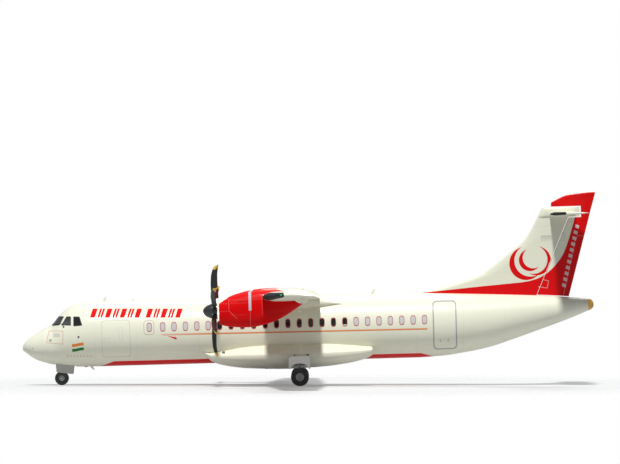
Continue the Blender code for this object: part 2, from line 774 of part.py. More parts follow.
BLADE_SECTIONS = (
    # radius, chord, thickness, angle from the disc in degrees, and how far the middle of the chord is swept aft
    (0.20, 0.15, 0.100, 82.0, 0.00),
    (0.32, 0.16, 0.100, 80.0, 0.00),
    (0.52, 0.21, 0.070, 68.0, -0.01),
    (0.85, 0.25, 0.046, 56.0, -0.03),
    (1.20, 0.27, 0.036, 48.0, -0.045),
    (1.55, 0.26, 0.028, 43.0, -0.035),
    (1.85, 0.22, 0.021, 40.0, 0.02),
    (PROP_RADIUS, 0.12, 0.014, 38.0, 0.085),
)


def blade_ring(radius, chord, thickness, angle, sweep, centre, turn, hand):
    """A lens-shaped section across one blade, set at its angle and turned to the blade's place."""
    beta = math.radians(angle)
    ring = []
    for along, off in ((-0.5, 0.0), (-0.22, 0.48), (0.15, 0.42), (0.5, 0.0), (0.15, -0.42), (-0.22, -0.48)):
        a, b = along * chord, off * thickness
        fore_aft = a * math.sin(beta) - b * math.cos(beta) + sweep
        tangent = hand * (a * math.cos(beta) + b * math.sin(beta))
        point = Vector((fore_aft, tangent, radius))
        point.rotate(Matrix.Rotation(turn, 3, "X"))
        ring.append(centre + point)
    return ring


def make_propeller(side, word):
    centre = Vector((PROP_X, side * ENGINE_Y, THRUST_Z))
    plate = SPINNER_SEAT_RADIUS - SEAT_GAP
    hub_profile = [(0.0, 0.0), (0.0, 0.18), (0.03, 0.26), (0.17, 0.26), (0.185, plate), (0.205, plate), (0.205, 0.0)]
    hub = turned("propeller_" + word, hub_profile, centre - Vector((0.085, 0.0, 0.0)), (1.0, 0.0, 0.0), BLADE)
    blades = []
    for number in range(BLADES):
        turn = 2.0 * math.pi * number / BLADES
        rings = [blade_ring(*row, centre, turn, side) for row in BLADE_SECTIONS]
        blades.append(lofted("blade_%d_%s" % (number, word), rings, None))
    join(hub, *blades)
    shaft_bore = rod("shaft_bore_" + word, centre + Vector((0.03, 0.0, 0.0)), centre + Vector((0.3, 0.0, 0.0)),
                     SHAFT_RADIUS * RUNNING_FIT + 0.0002, sides=WHEEL_SIDES)
    cut(hub, shaft_bore)
    make_spinner(side, word, centre)


def make_spinner(side, word, centre):
    """A thin pointed cowl over the hub, cut where the blades pass through."""
    length = SPINNER_BACK_X - SPINNER_TIP_X
    outer = []
    for step in range(7):
        share = step / 6.0
        radius = SPINNER_RADIUS * math.sqrt(1.0 - (1.0 - share) ** 1.9)
        outer.append((SPINNER_TIP_X + length * share - centre.x, radius))
    back = SPINNER_BACK_X - centre.x
    inner = [(back, SPINNER_SEAT_RADIUS), (-0.05, SPINNER_SEAT_RADIUS), (-0.10, 0.29), (-0.25, 0.20), (-0.25, 0.0)]
    profile = outer + inner
    spinner = turned("spinner_" + word, profile, centre, (1.0, 0.0, 0.0), BLADE)
    cutters = []
    for number in range(BLADES):
        turn = 2.0 * math.pi * number / BLADES
        rings = []
        for height in (0.20, 0.60):
            ring = []
            for x, y in ((-0.11, -0.075), (0.095, -0.075), (0.095, 0.075), (-0.11, 0.075)):
                point = Vector((x, y, height))
                point.rotate(Matrix.Rotation(turn, 3, "X"))
                ring.append(centre + point)
            rings.append(ring)
        cutters.append(lofted("blade_slot_%d_%s" % (number, word), rings, None))
    cut(spinner, *cutters)


# Tail

FIN_LEADING_EDGE = (
    # height, leading edge
    (1.05, 4.90),
    (1.436, 5.25),
    (1.65, 6.07),
    (1.95, 7.17),
    (2.24, 7.99),
    (2.62, 8.56),
    (3.28, 9.40),
    (3.70, 9.94),
    (4.12, 10.24),
    (4.63, 10.52),
    (5.16, 10.80),
)
RUDDER_TRAILING_FOOT = (11.87, 1.00)
RUDDER_TRAILING_HEAD = (13.235, 5.805)
STAB_FAIRING_BOTTOM = 4.72
STAB_FAIRING_TOP = 5.15
RUDDER_NOTCH_GAP = 0.05
RUDDER_FOOT_Z = 0.95
RUDDER_PIN_Z = 1.245
RUDDER_FOOT_GAP = 0.03


def on_line(foot, head, z):
    return mix(foot[0], head[0], (z - foot[1]) / (head[1] - foot[1]))


def rudder_hinge_x(z):
    return on_line(RUDDER_HINGE_FOOT, RUDDER_HINGE_HEAD, z)


def rudder_trailing_x(z):
    return on_line(RUDDER_TRAILING_FOOT, RUDDER_TRAILING_HEAD, z)


def fin_half_thickness(z):
    """Half the fin's thickness at the hinge, thinner towards the top."""
    return mix(0.115, 0.075, (z - 1.0) / 4.0)


def fin_ring(z, x_lead, x_aft):
    """A horizontal slice of the fin: a round leading edge that thickens aft to the hinge wall."""
    half = fin_half_thickness(z)
    length = x_aft - x_lead
    ramp = min(1.0, 1.1 / length)
    outline = [(0.0, 0.0), (0.012 * ramp, 0.30), (0.06 * ramp, 0.62), (0.22 * ramp, 0.95), (0.5 * ramp, 1.15),
               (0.5 + 0.3 * ramp, 1.12), (1.0, 1.0)]
    upper = [(x_lead + length * t, half * h) for t, h in outline]
    lower = [(x, -y) for x, y in reversed(upper[1:])]
    return [(x, y, z) for x, y in upper + lower]


def fin_lead_x(z):
    return smooth_value(FIN_LEADING_EDGE, 1, z)


def make_fin():
    zs = [1.05, 1.30, 1.436, 1.54, 1.65, 1.80, 1.95, 2.10, 2.24, 2.43, 2.62, 2.95, 3.28, 3.49, 3.70, 3.91, 4.12,
          4.37, 4.63, STAB_FAIRING_BOTTOM - SEAT_GAP]
    rings = []
    for z in zs:
        wall = rudder_hinge_x(z) - fin_half_thickness(z) - 0.02
        rings.append(fin_ring(z, fin_lead_x(z), wall))
    fin = lofted("fin", rings, WHITE)
    cut(fin, fuselage_body("fuselage_under_fin", 3.5, TAIL_CAP_X + 0.2, SEAT_GAP))


def rudder_axis_point(z):
    return Vector((rudder_hinge_x(z), 0.0, z))


def rudder_ring(z, x_front, x_back, half_front, round_nose=True):
    """A horizontal slice of the rudder, thick at the front and thin at the trailing edge."""
    ring = []
    if round_nose:
        for step in range(7):
            angle = math.pi / 2.0 + math.pi * step / 6.0
            ring.append((x_front + half_front * math.cos(angle), half_front * math.sin(angle), z))
    else:
        for off in (0.55, 0.0, -0.55):
            ring.append((x_front - 0.02 * (1.0 - abs(off)), half_front * off, z))
        ring = ring[:1] + ring[1:2] + ring[2:]
    ring.append((mix(x_front, x_back, 0.5), -half_front * 0.62, z))
    ring.append((x_back, -0.008, z))
    ring.append((x_back, 0.008, z))
    ring.append((mix(x_front, x_back, 0.5), half_front * 0.62, z))
    return ring


def make_rudder():
    """The rudder runs behind the fin, past the tailplane's fairing, and ends in a balance horn above it."""
    notch_low = STAB_FAIRING_BOTTOM - RUDDER_NOTCH_GAP
    notch_high = STAB_FAIRING_TOP + RUDDER_NOTCH_GAP
    lower = [rudder_ring(z, rudder_hinge_x(z), rudder_trailing_x(z), fin_half_thickness(z))
             for z in (RUDDER_FOOT_Z, 3.0, notch_low)]
    rudder = lofted("rudder", lower, RED)
    link = [rudder_ring(z, 12.60, rudder_trailing_x(z) - 0.006, 0.045)
            for z in (notch_low - 0.15, notch_high + 0.15)]
    horn_back = rudder_trailing_x
    horn = []
    for z, lead in ((notch_high, 11.20), (5.37, 11.21), (5.48, 11.40), (5.575, 11.59), (5.70, 11.92), (5.755, 12.32),
                    (5.785, 12.66), (5.805, 12.92)):
        horn.append(horn_ring(z, lead, horn_back(z)))
    link_piece = lofted("rudder_link", link, None)
    horn_piece = lofted("rudder_horn", horn, None)
    join(rudder, link_piece, horn_piece)
    cut(rudder, fuselage_body("fuselage_under_rudder", 8.0, TAIL_CAP_X + 0.2, RUDDER_FOOT_GAP))
    pins, bores = pin_pair("rudder", rudder_axis_point(RUDDER_PIN_Z), rudder_axis_point(notch_low))
    join(rudder, *pins)
    return bores


def horn_ring(z, x_front, x_back):
    """A slice of the horn: a slim form with a round front."""
    half = 0.07
    length = x_back - x_front
    outline = [(0.0, 0.0), (0.02, 0.45), (0.09, 0.85), (0.30, 1.0), (0.62, 0.72), (1.0, 0.12)]
    upper = [(x_front + length * t, half * h) for t, h in outline]
    lower = [(x, -y) for x, y in reversed(upper[1:])]
    return [(x, y, z) for x, y in upper + lower]


def tailplane_section(y):
    t = abs(y) / TAILPLANE_HALF_SPAN
    chord = mix(1.85, 1.24, t)
    lead = mix(11.11, 11.50, t)
    return Section((lead, y, TAILPLANE_Z - 0.03), chord, 0.10)


ELEVATOR_HINGE = 0.64
ELEVATOR_ROOT_Y = 0.38
ELEVATOR_SKEW = 0.30


def make_tailplane():
    """One fixed piece from tip to tip, with an elevator behind each half."""
    ys = [-TAILPLANE_HALF_SPAN, -TAILPLANE_HALF_SPAN + 0.12, 0.0, TAILPLANE_HALF_SPAN - 0.12, TAILPLANE_HALF_SPAN]
    rings = []
    for y in ys:
        section = tailplane_section(y)
        if abs(y) == TAILPLANE_HALF_SPAN:
            section.origin.x += 0.16
            section.chord -= 0.20
            section.thickness *= 0.6
        rings.append(section.ring())
    plane = lofted("tailplane", rings, WHITE)
    cutters = []
    for side, word in ((-1, "port"), (1, "starboard")):
        start, end = side * ELEVATOR_ROOT_Y, side * (TAILPLANE_HALF_SPAN - 0.22)
        cutters.append(notch("elevator_notch_" + word, tailplane_section, start, end, ELEVATOR_HINGE))
        inner, outer = start + side * END_GAP, end - side * END_GAP
        surface = lofted("elevator_" + word,
                         [tailplane_section(inner).tail_ring(ELEVATOR_HINGE),
                          tailplane_section(outer).tail_ring(ELEVATOR_HINGE)], WHITE)
        hinge_x = tailplane_section(inner).hinge(ELEVATOR_HINGE)[0].x
        skew = [(hinge_x + 0.10, inner - side * 0.5, -1.0), (hinge_x + 1.6, inner - side * 0.5, -1.0),
                (hinge_x + 1.6, inner + side * 1.5 * ELEVATOR_SKEW, -1.0), (hinge_x + 0.10, inner, -1.0)]
        rings = [[(x, y, TAILPLANE_Z + offset) for x, y, _ in skew] for offset in (-0.5, 0.5)]
        pins, bores = pin_pair("elevator_" + word, *hinge_line(tailplane_section, inner, outer, ELEVATOR_HINGE))
        join(surface, *pins)
        cut(surface, lofted("elevator_skew_" + word, rings, None))
        cutters.extend(bores)
    tail_gap = box("rudder_swing_room", (12.30, -0.9, 4.0), (14.0, 0.9, 6.0))
    cutters.append(tail_gap)
    cut(plane, *cutters)


STAB_FAIRING_AFT = 12.44
STAB_FAIRING_SLICES = (
    # height, half width
    (STAB_FAIRING_BOTTOM, 0.100),
    (4.80, 0.135),
    (4.96, 0.140),
    (5.08, 0.120),
    (STAB_FAIRING_TOP, 0.085),
)


def make_stab_fairing():
    """The faired block at the fin's head that holds the tailplane. It carries the fin's leading edge on."""
    rings = []
    for z, half in STAB_FAIRING_SLICES:
        x_lead = fin_lead_x(z)
        length = STAB_FAIRING_AFT - x_lead
        outline = [(0.0, 0.0), (0.015, 0.36), (0.06, 0.70), (0.20, 1.0), (0.55, 0.95), (0.85, 0.45), (1.0, 0.12)]
        upper = [(x_lead + length * t, half * h) for t, h in outline]
        rings.append([(x, y, z) for x, y in upper] + [(x, -y, z) for x, y in reversed(upper[1:])])
    made = lofted("tailplane_fairing", rings, WHITE)
    envelope = [tailplane_section(y).ring(SEAT_GAP) for y in (-0.6, 0.0, 0.6)]
    return cut(made, lofted("tailplane_slot", envelope, None))


# Landing gear

def on_ground(x, radius):
    """The height, in aircraft axes, of an axle at x whose wheel of this radius stands on the ground."""
    flat = radius * math.cos(math.pi / WHEEL_SIDES)
    return (flat - STANCE_HEIGHT - x * math.sin(GROUND_PITCH)) / math.cos(GROUND_PITCH)


def tyre_profile(radius, width, bead):
    """A tyre's cross-section: rounded tread and bulging walls down to the bead."""
    half = width / 2.0
    depth = radius - bead
    points = [(-half * 0.72, bead), (-half, bead + depth * 0.45),
              (-half * 0.88, bead + depth * 0.84), (-half * 0.50, radius - depth * 0.02), (0.0, radius)]
    return points + [(-a, r) for a, r in reversed(points[:-1])]


def rim_profile(rim_radius, width, bore):
    """A wheel's rim and disc, dished on the outside face, with a bore for its axle."""
    half = width / 2.0
    return [(-half * 0.70, bore), (-half * 0.62, rim_radius * 0.45),
            (-half * 0.34, rim_radius * 0.86), (-half * 0.72, rim_radius),
            (half * 0.72, rim_radius), (half * 0.34, rim_radius * 0.86),
            (half * 0.62, rim_radius * 0.45), (half * 0.70, bore)]


def make_wheel(label, x, y, z, radius, width, rim_radius):
    """A tyre and its rim, turned with a flat of the tyre on the ground."""
    centre = stance_matrix() @ Vector((x, y, z))
    axis = (0.0, 1.0, 0.0)
    turned("tyre_" + label, tyre_profile(radius, width, rim_radius + SEAT_GAP), centre, axis, RUBBER, parent=None)
    bore = AXLE_RADIUS / math.cos(math.pi / WHEEL_SIDES) + SEAT_GAP
    turned("rim_" + label, rim_profile(rim_radius, width, bore), centre, axis, METAL, parent=None)


def make_main_gear(side, word):
    z = on_ground(MAIN_WHEEL_X, MAIN_TYRE_RADIUS)
    for twin, name in ((1, "outer"), (-1, "inner")):
        y = side * (MAIN_TRACK_HALF + twin * MAIN_TWIN_HALF)
        make_wheel("main_" + word + "_" + name, MAIN_WHEEL_X, y, z, MAIN_TYRE_RADIUS, MAIN_TYRE_WIDTH,
                   MAIN_RIM_RADIUS)
    y = side * MAIN_TRACK_HALF
    roof = WHEEL_WELL[4]
    reach = MAIN_TWIN_HALF + MAIN_TYRE_WIDTH * 0.42
    leg = box("main_leg_" + word, (MAIN_WHEEL_X - 0.21, y - 0.13, -1.62), (MAIN_WHEEL_X + 0.21, y + 0.13, roof),
              STEEL)
    blade_part = box("main_leg_blade_" + word, (MAIN_WHEEL_X - 0.09, y - 0.055, z - 0.09),
                     (MAIN_WHEEL_X + 0.09, y + 0.055, -1.55))
    axle = rod("main_axle_" + word, (MAIN_WHEEL_X, y - reach, z), (MAIN_WHEEL_X, y + reach, z), AXLE_RADIUS,
               sides=WHEEL_SIDES)
    brace = rod("main_brace_" + word, (MAIN_WHEEL_X, side * 1.68, -1.20), (MAIN_WHEEL_X, y - side * 0.04, -1.60),
                0.06, sides=12)
    join(leg, blade_part, axle, brace)
    make_main_door(side, word)


def make_main_door(side, word):
    """The leg's own door: a plate outboard of the leg, with an arch over the wheel."""
    x0, x1 = WHEEL_WELL[0] + 0.03, WHEEL_WELL[1] - 0.03
    y0 = side * 2.30
    y1 = side * 2.335
    top, bottom = -1.20, -1.80
    centre = MAIN_WHEEL_X
    arch = [(x0, bottom), (x0, top - 0.05), (x0 + 0.05, top), (x1 - 0.02, top), (x1, top - 0.02), (x1, bottom - 0.03)]
    arch.append((x1 - 0.10, bottom - 0.03))
    for step in range(9):
        angle = math.pi * step / 8.0
        arch.append((centre + 0.36 * math.cos(angle), bottom - 0.03 + 0.28 * math.sin(angle)))
    plate = prism("main_door_" + word, arch, min(y0, y1), max(y0, y1), WHITE)
    inner = y0 + side * 0.01
    strut = box("main_door_strut_" + word, (centre - 0.05, min(side * (MAIN_TRACK_HALF + 0.13 + SEAT_GAP), inner), -1.40),
                (centre + 0.05, max(side * (MAIN_TRACK_HALF + 0.13 + SEAT_GAP), inner), -1.32))
    join(plate, strut)


def make_nose_gear():
    z = on_ground(NOSE_WHEEL_X, NOSE_TYRE_RADIUS)
    for side, word in ((-1, "port"), (1, "starboard")):
        make_wheel("nose_" + word, NOSE_WHEEL_X, side * NOSE_TWIN_HALF, z, NOSE_TYRE_RADIUS, NOSE_TYRE_WIDTH,
                   NOSE_RIM_RADIUS)
    roof = NOSE_BAY[3]
    sleeve = rod("nose_leg", (NOSE_WHEEL_X, 0.0, -1.60), (NOSE_WHEEL_X, 0.0, roof - SEAT_GAP), 0.085, STEEL, 20)
    drag = rod("nose_drag_brace", (NOSE_WHEEL_X, 0.0, -1.50), (NOSE_BAY[1] - 0.10, 0.0, roof - 0.03), 0.035, sides=12)
    tube = rod("nose_leg_bore", (NOSE_WHEEL_X, 0.0, -1.90), (NOSE_WHEEL_X, 0.0, -1.30),
               0.05 * RUNNING_FIT + 0.0002, sides=24)
    cut(join(sleeve, drag), tube)
    reach = NOSE_TWIN_HALF + NOSE_TYRE_WIDTH * 0.42
    piston = rod("nose_fork", (NOSE_WHEEL_X, 0.0, z - 0.065), (NOSE_WHEEL_X, 0.0, -1.305), 0.05, STEEL, 24)
    collar = rod("nose_fork_collar", (NOSE_WHEEL_X, 0.0, -1.68), (NOSE_WHEEL_X, 0.0, -1.612), 0.072, sides=16)
    axle = rod("nose_axle", (NOSE_WHEEL_X, -reach, z), (NOSE_WHEEL_X, reach, z), AXLE_RADIUS, sides=WHEEL_SIDES)
    join(piston, collar, axle)
    for side, word in ((-1, "port"), (1, "starboard")):
        make_nose_door(side, word)


def make_nose_door(side, word):
    """A hanging door plate along one side of the nose bay."""
    outline = ((-11.47, -1.20), (-11.43, -1.685), (-10.69, -1.79), (-10.60, -1.20))
    y0, y1 = side * 0.375, side * 0.405
    plate = prism("nose_door_" + word, outline, min(y0, y1), max(y0, y1), WHITE)
    cut(plate, fuselage_body("fuselage_over_nose_door_" + word, -12.3, -9.8, SEAT_GAP))


# Doors and hatches

STAIR_STEPS = 5
STAIR_OPEN_ANGLE = math.radians(128.0)


DOOR_PIN_RADIUS = 0.014
DOOR_PIN_LENGTH = 0.05


def door_hinge(opening, edge_z, side):
    """The two ends of a door's hinge axis, just outside the skin along the door's upper or lower edge."""
    x0, x1 = opening[0] + DOOR_GAP, opening[1] - DOOR_GAP
    return [Vector((x, side * (skin_y(x, edge_z) + 0.006), edge_z)) for x in (x0, x1)]


def hang_door(door, label, opening, edge_z, side):
    """Gives a door its hinge bar, and the fuselage a lug with a bore at each end of it."""
    start, end = door_hinge(opening, edge_z, side)
    line = (end - start).normalized()
    reach = DOOR_PIN_LENGTH + DOOR_GAP
    bar = rod(label + "_bar", start - line * reach, end + line * reach, DOOR_PIN_RADIUS, sides=12)
    join(door, bar)
    bore = rod(label + "_bore", start - line * (reach + 0.004), end + line * (reach + 0.004),
               DOOR_PIN_RADIUS * 1.04 + SEAT_GAP, sides=12)
    lugs = []
    for tag, foot, way in (("a", start, -line), ("b", end, line)):
        near = foot + way * (DOOR_GAP + 0.006)
        far = foot + way * (reach + 0.012)
        lugs.append(rod(label + "_lug_" + tag, near, far, 0.032, sides=12))
    join(FUSELAGE, *lugs)
    cut(FUSELAGE, bore)


def make_stair_door():
    """The entry door, hinged at its foot, with steps on its inner face for when it is down."""
    door = panel("stair_door", STAIR_DOOR, -1, STAIR_THICKNESS, clearance=DOOR_GAP)
    x0, x1, z0, z1, _ = STAIR_DOOR
    steps = []
    for number in range(STAIR_STEPS):
        z = mix(z0, z1, (number + 1.0) / (STAIR_STEPS + 1.2))
        y = -(skin_y(x1 - 0.18, z) - STAIR_THICKNESS + 0.02)
        low = (x0 + 0.18, y, z - 0.02)
        high = (x1 - 0.18, y + 0.22, z + 0.02)
        steps.append(box("stair_step_%d" % number, low, high))
    join(door, *steps)
    hang_door(door, "stair_door", STAIR_DOOR, z0 + DOOR_GAP + 0.01, -1)


def make_doors():
    make_stair_door()
    cargo = panel("cargo_door", CARGO_DOOR, -1, CARGO_THICKNESS, clearance=DOOR_GAP)
    hang_door(cargo, "cargo_door", CARGO_DOOR, CARGO_DOOR[3] - DOOR_GAP - 0.01, -1)
    panel("service_door", SERVICE_DOOR, 1, PLUG_DEPTH, clearance=SEAT_GAP)
    panel("exit_hatch_port", HATCH, -1, PLUG_DEPTH, clearance=SEAT_GAP)
    panel("exit_hatch_starboard", HATCH, 1, PLUG_DEPTH, clearance=SEAT_GAP)


make_radome()
FUSELAGE = make_fuselage()
join(FUSELAGE, jack_pad("nose_jack_pad", NOSE_JACK_PAD),
     *[antenna(number, *row) for number, row in enumerate(ANTENNAS)])
make_tail_cap()
make_glazing()
make_doors()
make_wing()
make_wing_fairing()
make_gear_fairing()
for SIDE, WORD in ((-1, "port"), (1, "starboard")):
    make_nacelle(SIDE, WORD)
    make_propeller(SIDE, WORD)
    make_main_gear(SIDE, WORD)
make_nose_gear()
make_fin()
LOWER_BORE, UPPER_BORE = make_rudder()
cut(FUSELAGE, LOWER_BORE)
make_tailplane()
cut(make_stab_fairing(), UPPER_BORE)
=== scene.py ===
"""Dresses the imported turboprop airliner: fine skins, paint, glass, propellers, wheels and a pale studio.

Shapes are worked out in the aircraft's own axes in metres: u aft, y to starboard and w up from the fuselage's
centreline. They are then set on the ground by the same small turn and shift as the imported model.
"""
import math
from collections import namedtuple
from functools import reduce

import bmesh
import bpy
import numpy as np
from mathutils import Matrix, Vector

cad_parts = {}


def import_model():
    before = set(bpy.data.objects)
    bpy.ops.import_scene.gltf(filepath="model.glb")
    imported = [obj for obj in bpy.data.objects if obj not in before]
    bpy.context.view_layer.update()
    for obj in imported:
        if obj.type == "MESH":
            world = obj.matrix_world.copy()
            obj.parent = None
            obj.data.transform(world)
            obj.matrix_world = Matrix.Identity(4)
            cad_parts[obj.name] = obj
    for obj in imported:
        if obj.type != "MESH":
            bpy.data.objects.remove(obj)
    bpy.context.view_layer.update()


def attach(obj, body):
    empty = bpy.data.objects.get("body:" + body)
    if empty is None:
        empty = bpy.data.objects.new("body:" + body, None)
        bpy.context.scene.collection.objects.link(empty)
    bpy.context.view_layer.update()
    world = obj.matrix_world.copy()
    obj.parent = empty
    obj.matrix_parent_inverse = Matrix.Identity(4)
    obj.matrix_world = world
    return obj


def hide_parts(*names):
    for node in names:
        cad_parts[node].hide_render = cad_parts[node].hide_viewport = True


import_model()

bl_info = {
    "name": "Turboprop airliner",
    "version": (1, 0, 0),
    "blender": (4, 5, 0),
    "location": "View3D > Sidebar > Airliner",
    "description": "Builds the skins, paint, glass, propellers and wheels of a twin-turboprop airliner",
    "category": "Object",
}

# The aircraft's stance on the ground

PITCH = math.radians(1.6)
COS, SIN = math.cos(PITCH), math.sin(PITCH)
SHIFT, HEIGHT = -0.0723, 2.590
STANCE = Matrix.Translation((SHIFT, 0.0, HEIGHT)) @ Matrix.Rotation(-PITCH, 4, "Y")
SIDES = ((-1, "port"), (1, "starboard"))

# Station tables: station, crown, keel and half width

FUSELAGE = np.array((
    (-12.90, -0.39, -0.69, 0.17), (-12.79, -0.25, -0.78, 0.32), (-12.52, -0.04, -0.99, 0.57),
    (-12.24, 0.13, -1.14, 0.77), (-11.96, 0.29, -1.23, 0.92), (-11.60, 0.48, -1.325, 1.06),
    (-11.26, 0.87, -1.38, 1.17), (-10.98, 1.12, -1.425, 1.25), (-10.70, 1.28, -1.45, 1.32),
    (-10.30, 1.40, -1.465, 1.39), (-9.60, 1.46, -1.475, 1.45), (4.90, 1.45, -1.475, 1.45),
    (6.00, 1.42, -1.43, 1.42), (7.10, 1.37, -1.30, 1.33), (8.20, 1.32, -1.10, 1.20),
    (9.30, 1.265, -0.77, 1.03), (10.90, 1.17, -0.24, 0.72), (12.00, 1.07, 0.14, 0.47),
    (12.76, 0.99, 0.44, 0.27)))
NOSE_TIP, NOSE_Z, TAIL_X, TAIL_END, SKIN_SIDES = -12.9497, -0.556, 12.76, 13.02, 128
WING_FAIRING = np.array((
    (-3.30, 1.10, 1.02, 0.97), (-2.70, 1.46, 0.86, 1.13), (-2.00, 1.80, 0.70, 1.26),
    (-1.10, 1.84, 0.62, 1.31), (-0.10, 1.72, 0.66, 1.28), (0.62, 1.47, 0.80, 1.20), (1.15, 1.27, 0.94, 1.10),
    (1.70, 1.10, 1.04, 0.985)))
GEAR_FAIRING = np.array((
    (-4.75, -0.90, -0.98, 1.12), (-4.40, -0.82, -1.38, 1.32), (-3.70, -0.68, -1.61, 1.62),
    (-2.70, -0.52, -1.75, 1.90), (-1.00, -0.46, -1.82, 2.02), (0.60, -0.49, -1.765, 1.99),
    (1.70, -0.57, -1.65, 1.87), (2.45, -0.67, -1.50, 1.69), (2.80, -0.73, -1.37, 1.58),
    (2.91, -0.79, -1.30, 1.51)))
NACELLE = np.array((
    (-3.94, 1.26, 0.34, 0.37), (-3.76, 1.37, 0.27, 0.43), (-3.48, 1.52, 0.21, 0.48),
    (-3.02, 1.66, 0.17, 0.51), (-2.56, 1.76, 0.16, 0.53), (-2.00, 1.82, 0.24, 0.53),
    (-1.42, 1.83, 0.42, 0.51), (-0.95, 1.72, 0.64, 0.47), (-0.50, 1.56, 0.92, 0.40),
    (-0.14, 1.38, 1.17, 0.26)))

# Openings: side-view limits (u0, u1, w0, w1) and corner radius

STAIR_DOOR = (5.70, 6.73, -1.10, 1.06, 0.16)
CARGO_DOOR = (-9.30, -8.03, -1.05, 0.60, 0.08)
SERVICE_DOOR = (5.80, 6.50, -0.62, 0.72, 0.12)
HATCH = (-7.39, -6.94, -0.08, 0.55, 0.12)
DOOR_GAP, STAIR_RECESS, CARGO_RECESS = 0.009, 0.42, 0.30

# Bays: first and last station, then half width (nose) or inner and outer face (wheels), and the roof's height

NOSE_BAY = (-11.52, -10.56, 0.33, -1.12)
WHEEL_WELL = (-0.875, 0.065, 1.56, 2.30, -1.24)

# Cabin windows: one beside the hatch's middle and a row behind it

WINDOW_FIRST, WINDOW_SECOND, WINDOW_LAST, WINDOW_COUNT, WINDOW_W = -7.147, -6.543, 5.301, 24, 0.252
WINDOWS = (WINDOW_FIRST, *np.linspace(WINDOW_SECOND, WINDOW_LAST, WINDOW_COUNT))

# Engines and propellers

ENGINE_Y, THRUST_Z, PROP_X, PROP_RADIUS, BLADES = 4.05, 0.93, -4.14, 2.05, 6
BLADE_SECTIONS = np.array((
    # radius, chord, thickness, angle from the disc, sweep aft
    (0.20, 0.15, 0.100, 82.0, 0.00), (0.32, 0.16, 0.100, 80.0, 0.00), (0.52, 0.21, 0.070, 68.0, -0.01),
    (0.85, 0.25, 0.046, 56.0, -0.03), (1.20, 0.27, 0.036, 48.0, -0.045), (1.55, 0.26, 0.028, 43.0, -0.035),
    (1.85, 0.22, 0.021, 40.0, 0.02), (2.05, 0.12, 0.014, 38.0, 0.085)))

# Wings and tailplane: the leading edge's station inboard and at the tip, and the hinges as chord shares

HALF_SPAN, KINK_Y, WING_W, WING_LEAD, DIHEDRAL = 13.525, 4.6, 1.51, (-1.976, -1.27), math.radians(0.9)
TAILPLANE_HALF_SPAN, TAILPLANE_W, TAILPLANE_LEAD = 3.655, 4.90, (11.11, 11.50)
FLAP_HINGE, ELEVATOR_HINGE, END_GAP = 0.70, 0.64, 0.03

# Wheels: axle's station, middle of the pair, half the pair's spacing, tyre radius and width, rim radius

Wheel = namedtuple("Wheel", "x y apart radius width rim")
MAIN_WHEEL = Wheel(-0.40, 2.05, 0.215, 0.41, 0.25, 0.215)
NOSE_WHEEL = Wheel(-11.21, 0.0, 0.16, 0.315, 0.17, 0.15)
CAD_WHEEL_SIDES = 24


# Surfaces worked out with numpy

def read_table(table, column, x):
    """A cubic through a table's rows whose slope at each row is the harmonic mean of the slopes beside it.

    It never overshoots the rows, and outside them it holds the end value.
    """
    at, value = table[:, 0], table[:, column]
    step = np.diff(value) / np.diff(at)
    product = step[:-1] * step[1:]
    mean = np.where(product > 0, 2 * product / np.where(product > 0, step[:-1] + step[1:], 1.0), 0.0)
    start, end = np.concatenate(((step[0],), mean)), np.concatenate((mean, (step[-1],)))
    x = np.clip(np.asarray(x, float), at[0], at[-1])
    i = np.clip(np.searchsorted(at, x, side="right") - 1, 0, len(at) - 2)
    span = at[i + 1] - at[i]
    t = (x - at[i]) / span
    return (value[i] * (2 * t ** 3 - 3 * t ** 2 + 1) + span * start[i] * (t ** 3 - 2 * t ** 2 + t)
            + value[i + 1] * (3 * t ** 2 - 2 * t ** 3) + span * end[i] * (t ** 3 - t ** 2))


def stations(table, x, lift=0.0):
    """Crown, keel and half width of a station table at x, moved out by lift."""
    return [read_table(table, column, x) + lift * way for column, way in ((1, 1), (2, -1), (3, 1))]


def mixed(a, b, t):
    return a + (b - a) * t


def unit(vector):
    return vector / np.linalg.norm(vector, axis=-1, keepdims=True)


def stack(x, y, z):
    """Puts three arrays that broadcast together into one array of points."""
    return np.stack(np.broadcast_arrays(x, y, z), axis=-1).astype(float)


def turn_angles(sides, phase=0.0):
    return 2 * math.pi * (np.arange(sides) + phase) / sides


def squarish(angle, power):
    """Cosine and sine with their size raised to a power: 1 gives a circle, and less a squarer ring."""
    return [np.sign(v) * np.abs(v) ** power for v in (np.cos(angle), np.sin(angle))]


def oval(x, top, bottom, width, y=0.0, upper=2.0, lower=2.0, sides=96):
    """Rings across the aircraft: across = width * |cos| ** (2/p), up = half height * |sin| ** (2/p).

    The power p is upper above the waist and lower below it; 2 gives an ellipse.
    """
    angle = turn_angles(sides)[None, :]
    across, up = squarish(angle, 2.0 / np.where(np.sin(angle) >= 0, upper, lower))
    x, top, bottom, width = (np.atleast_1d(np.asarray(v, float))[:, None] for v in (x, top, bottom, width))
    return stack(x, y + width * across, (top + bottom) / 2 + (top - bottom) / 2 * up)


def table_body(table, count, **more):
    """A station table as a smooth body with closely spaced rings."""
    x = np.linspace(table[0, 0], table[-1, 0], count)
    return oval(x, *stations(table, x), **more)


def skin(x, angle, lift=0.0, side=1):
    """A point of the fuselage's skin at a station and an angle above the waist, moved out by lift."""
    top, bottom, width = stations(FUSELAGE, x, lift)
    return stack(x, side * width * np.cos(angle), (top + bottom) / 2 + (top - bottom) / 2 * np.sin(angle))


def skin_angle(x, w):
    """The angle above the waist at which the skin has height w."""
    top, bottom, _ = stations(FUSELAGE, x)
    return np.arcsin(np.clip((w - (top + bottom) / 2) / ((top - bottom) / 2), -1.0, 1.0))


def skin_y(x, w):
    """How far out the skin is at a station and a height."""
    return float(skin(x, skin_angle(x, w))[1])


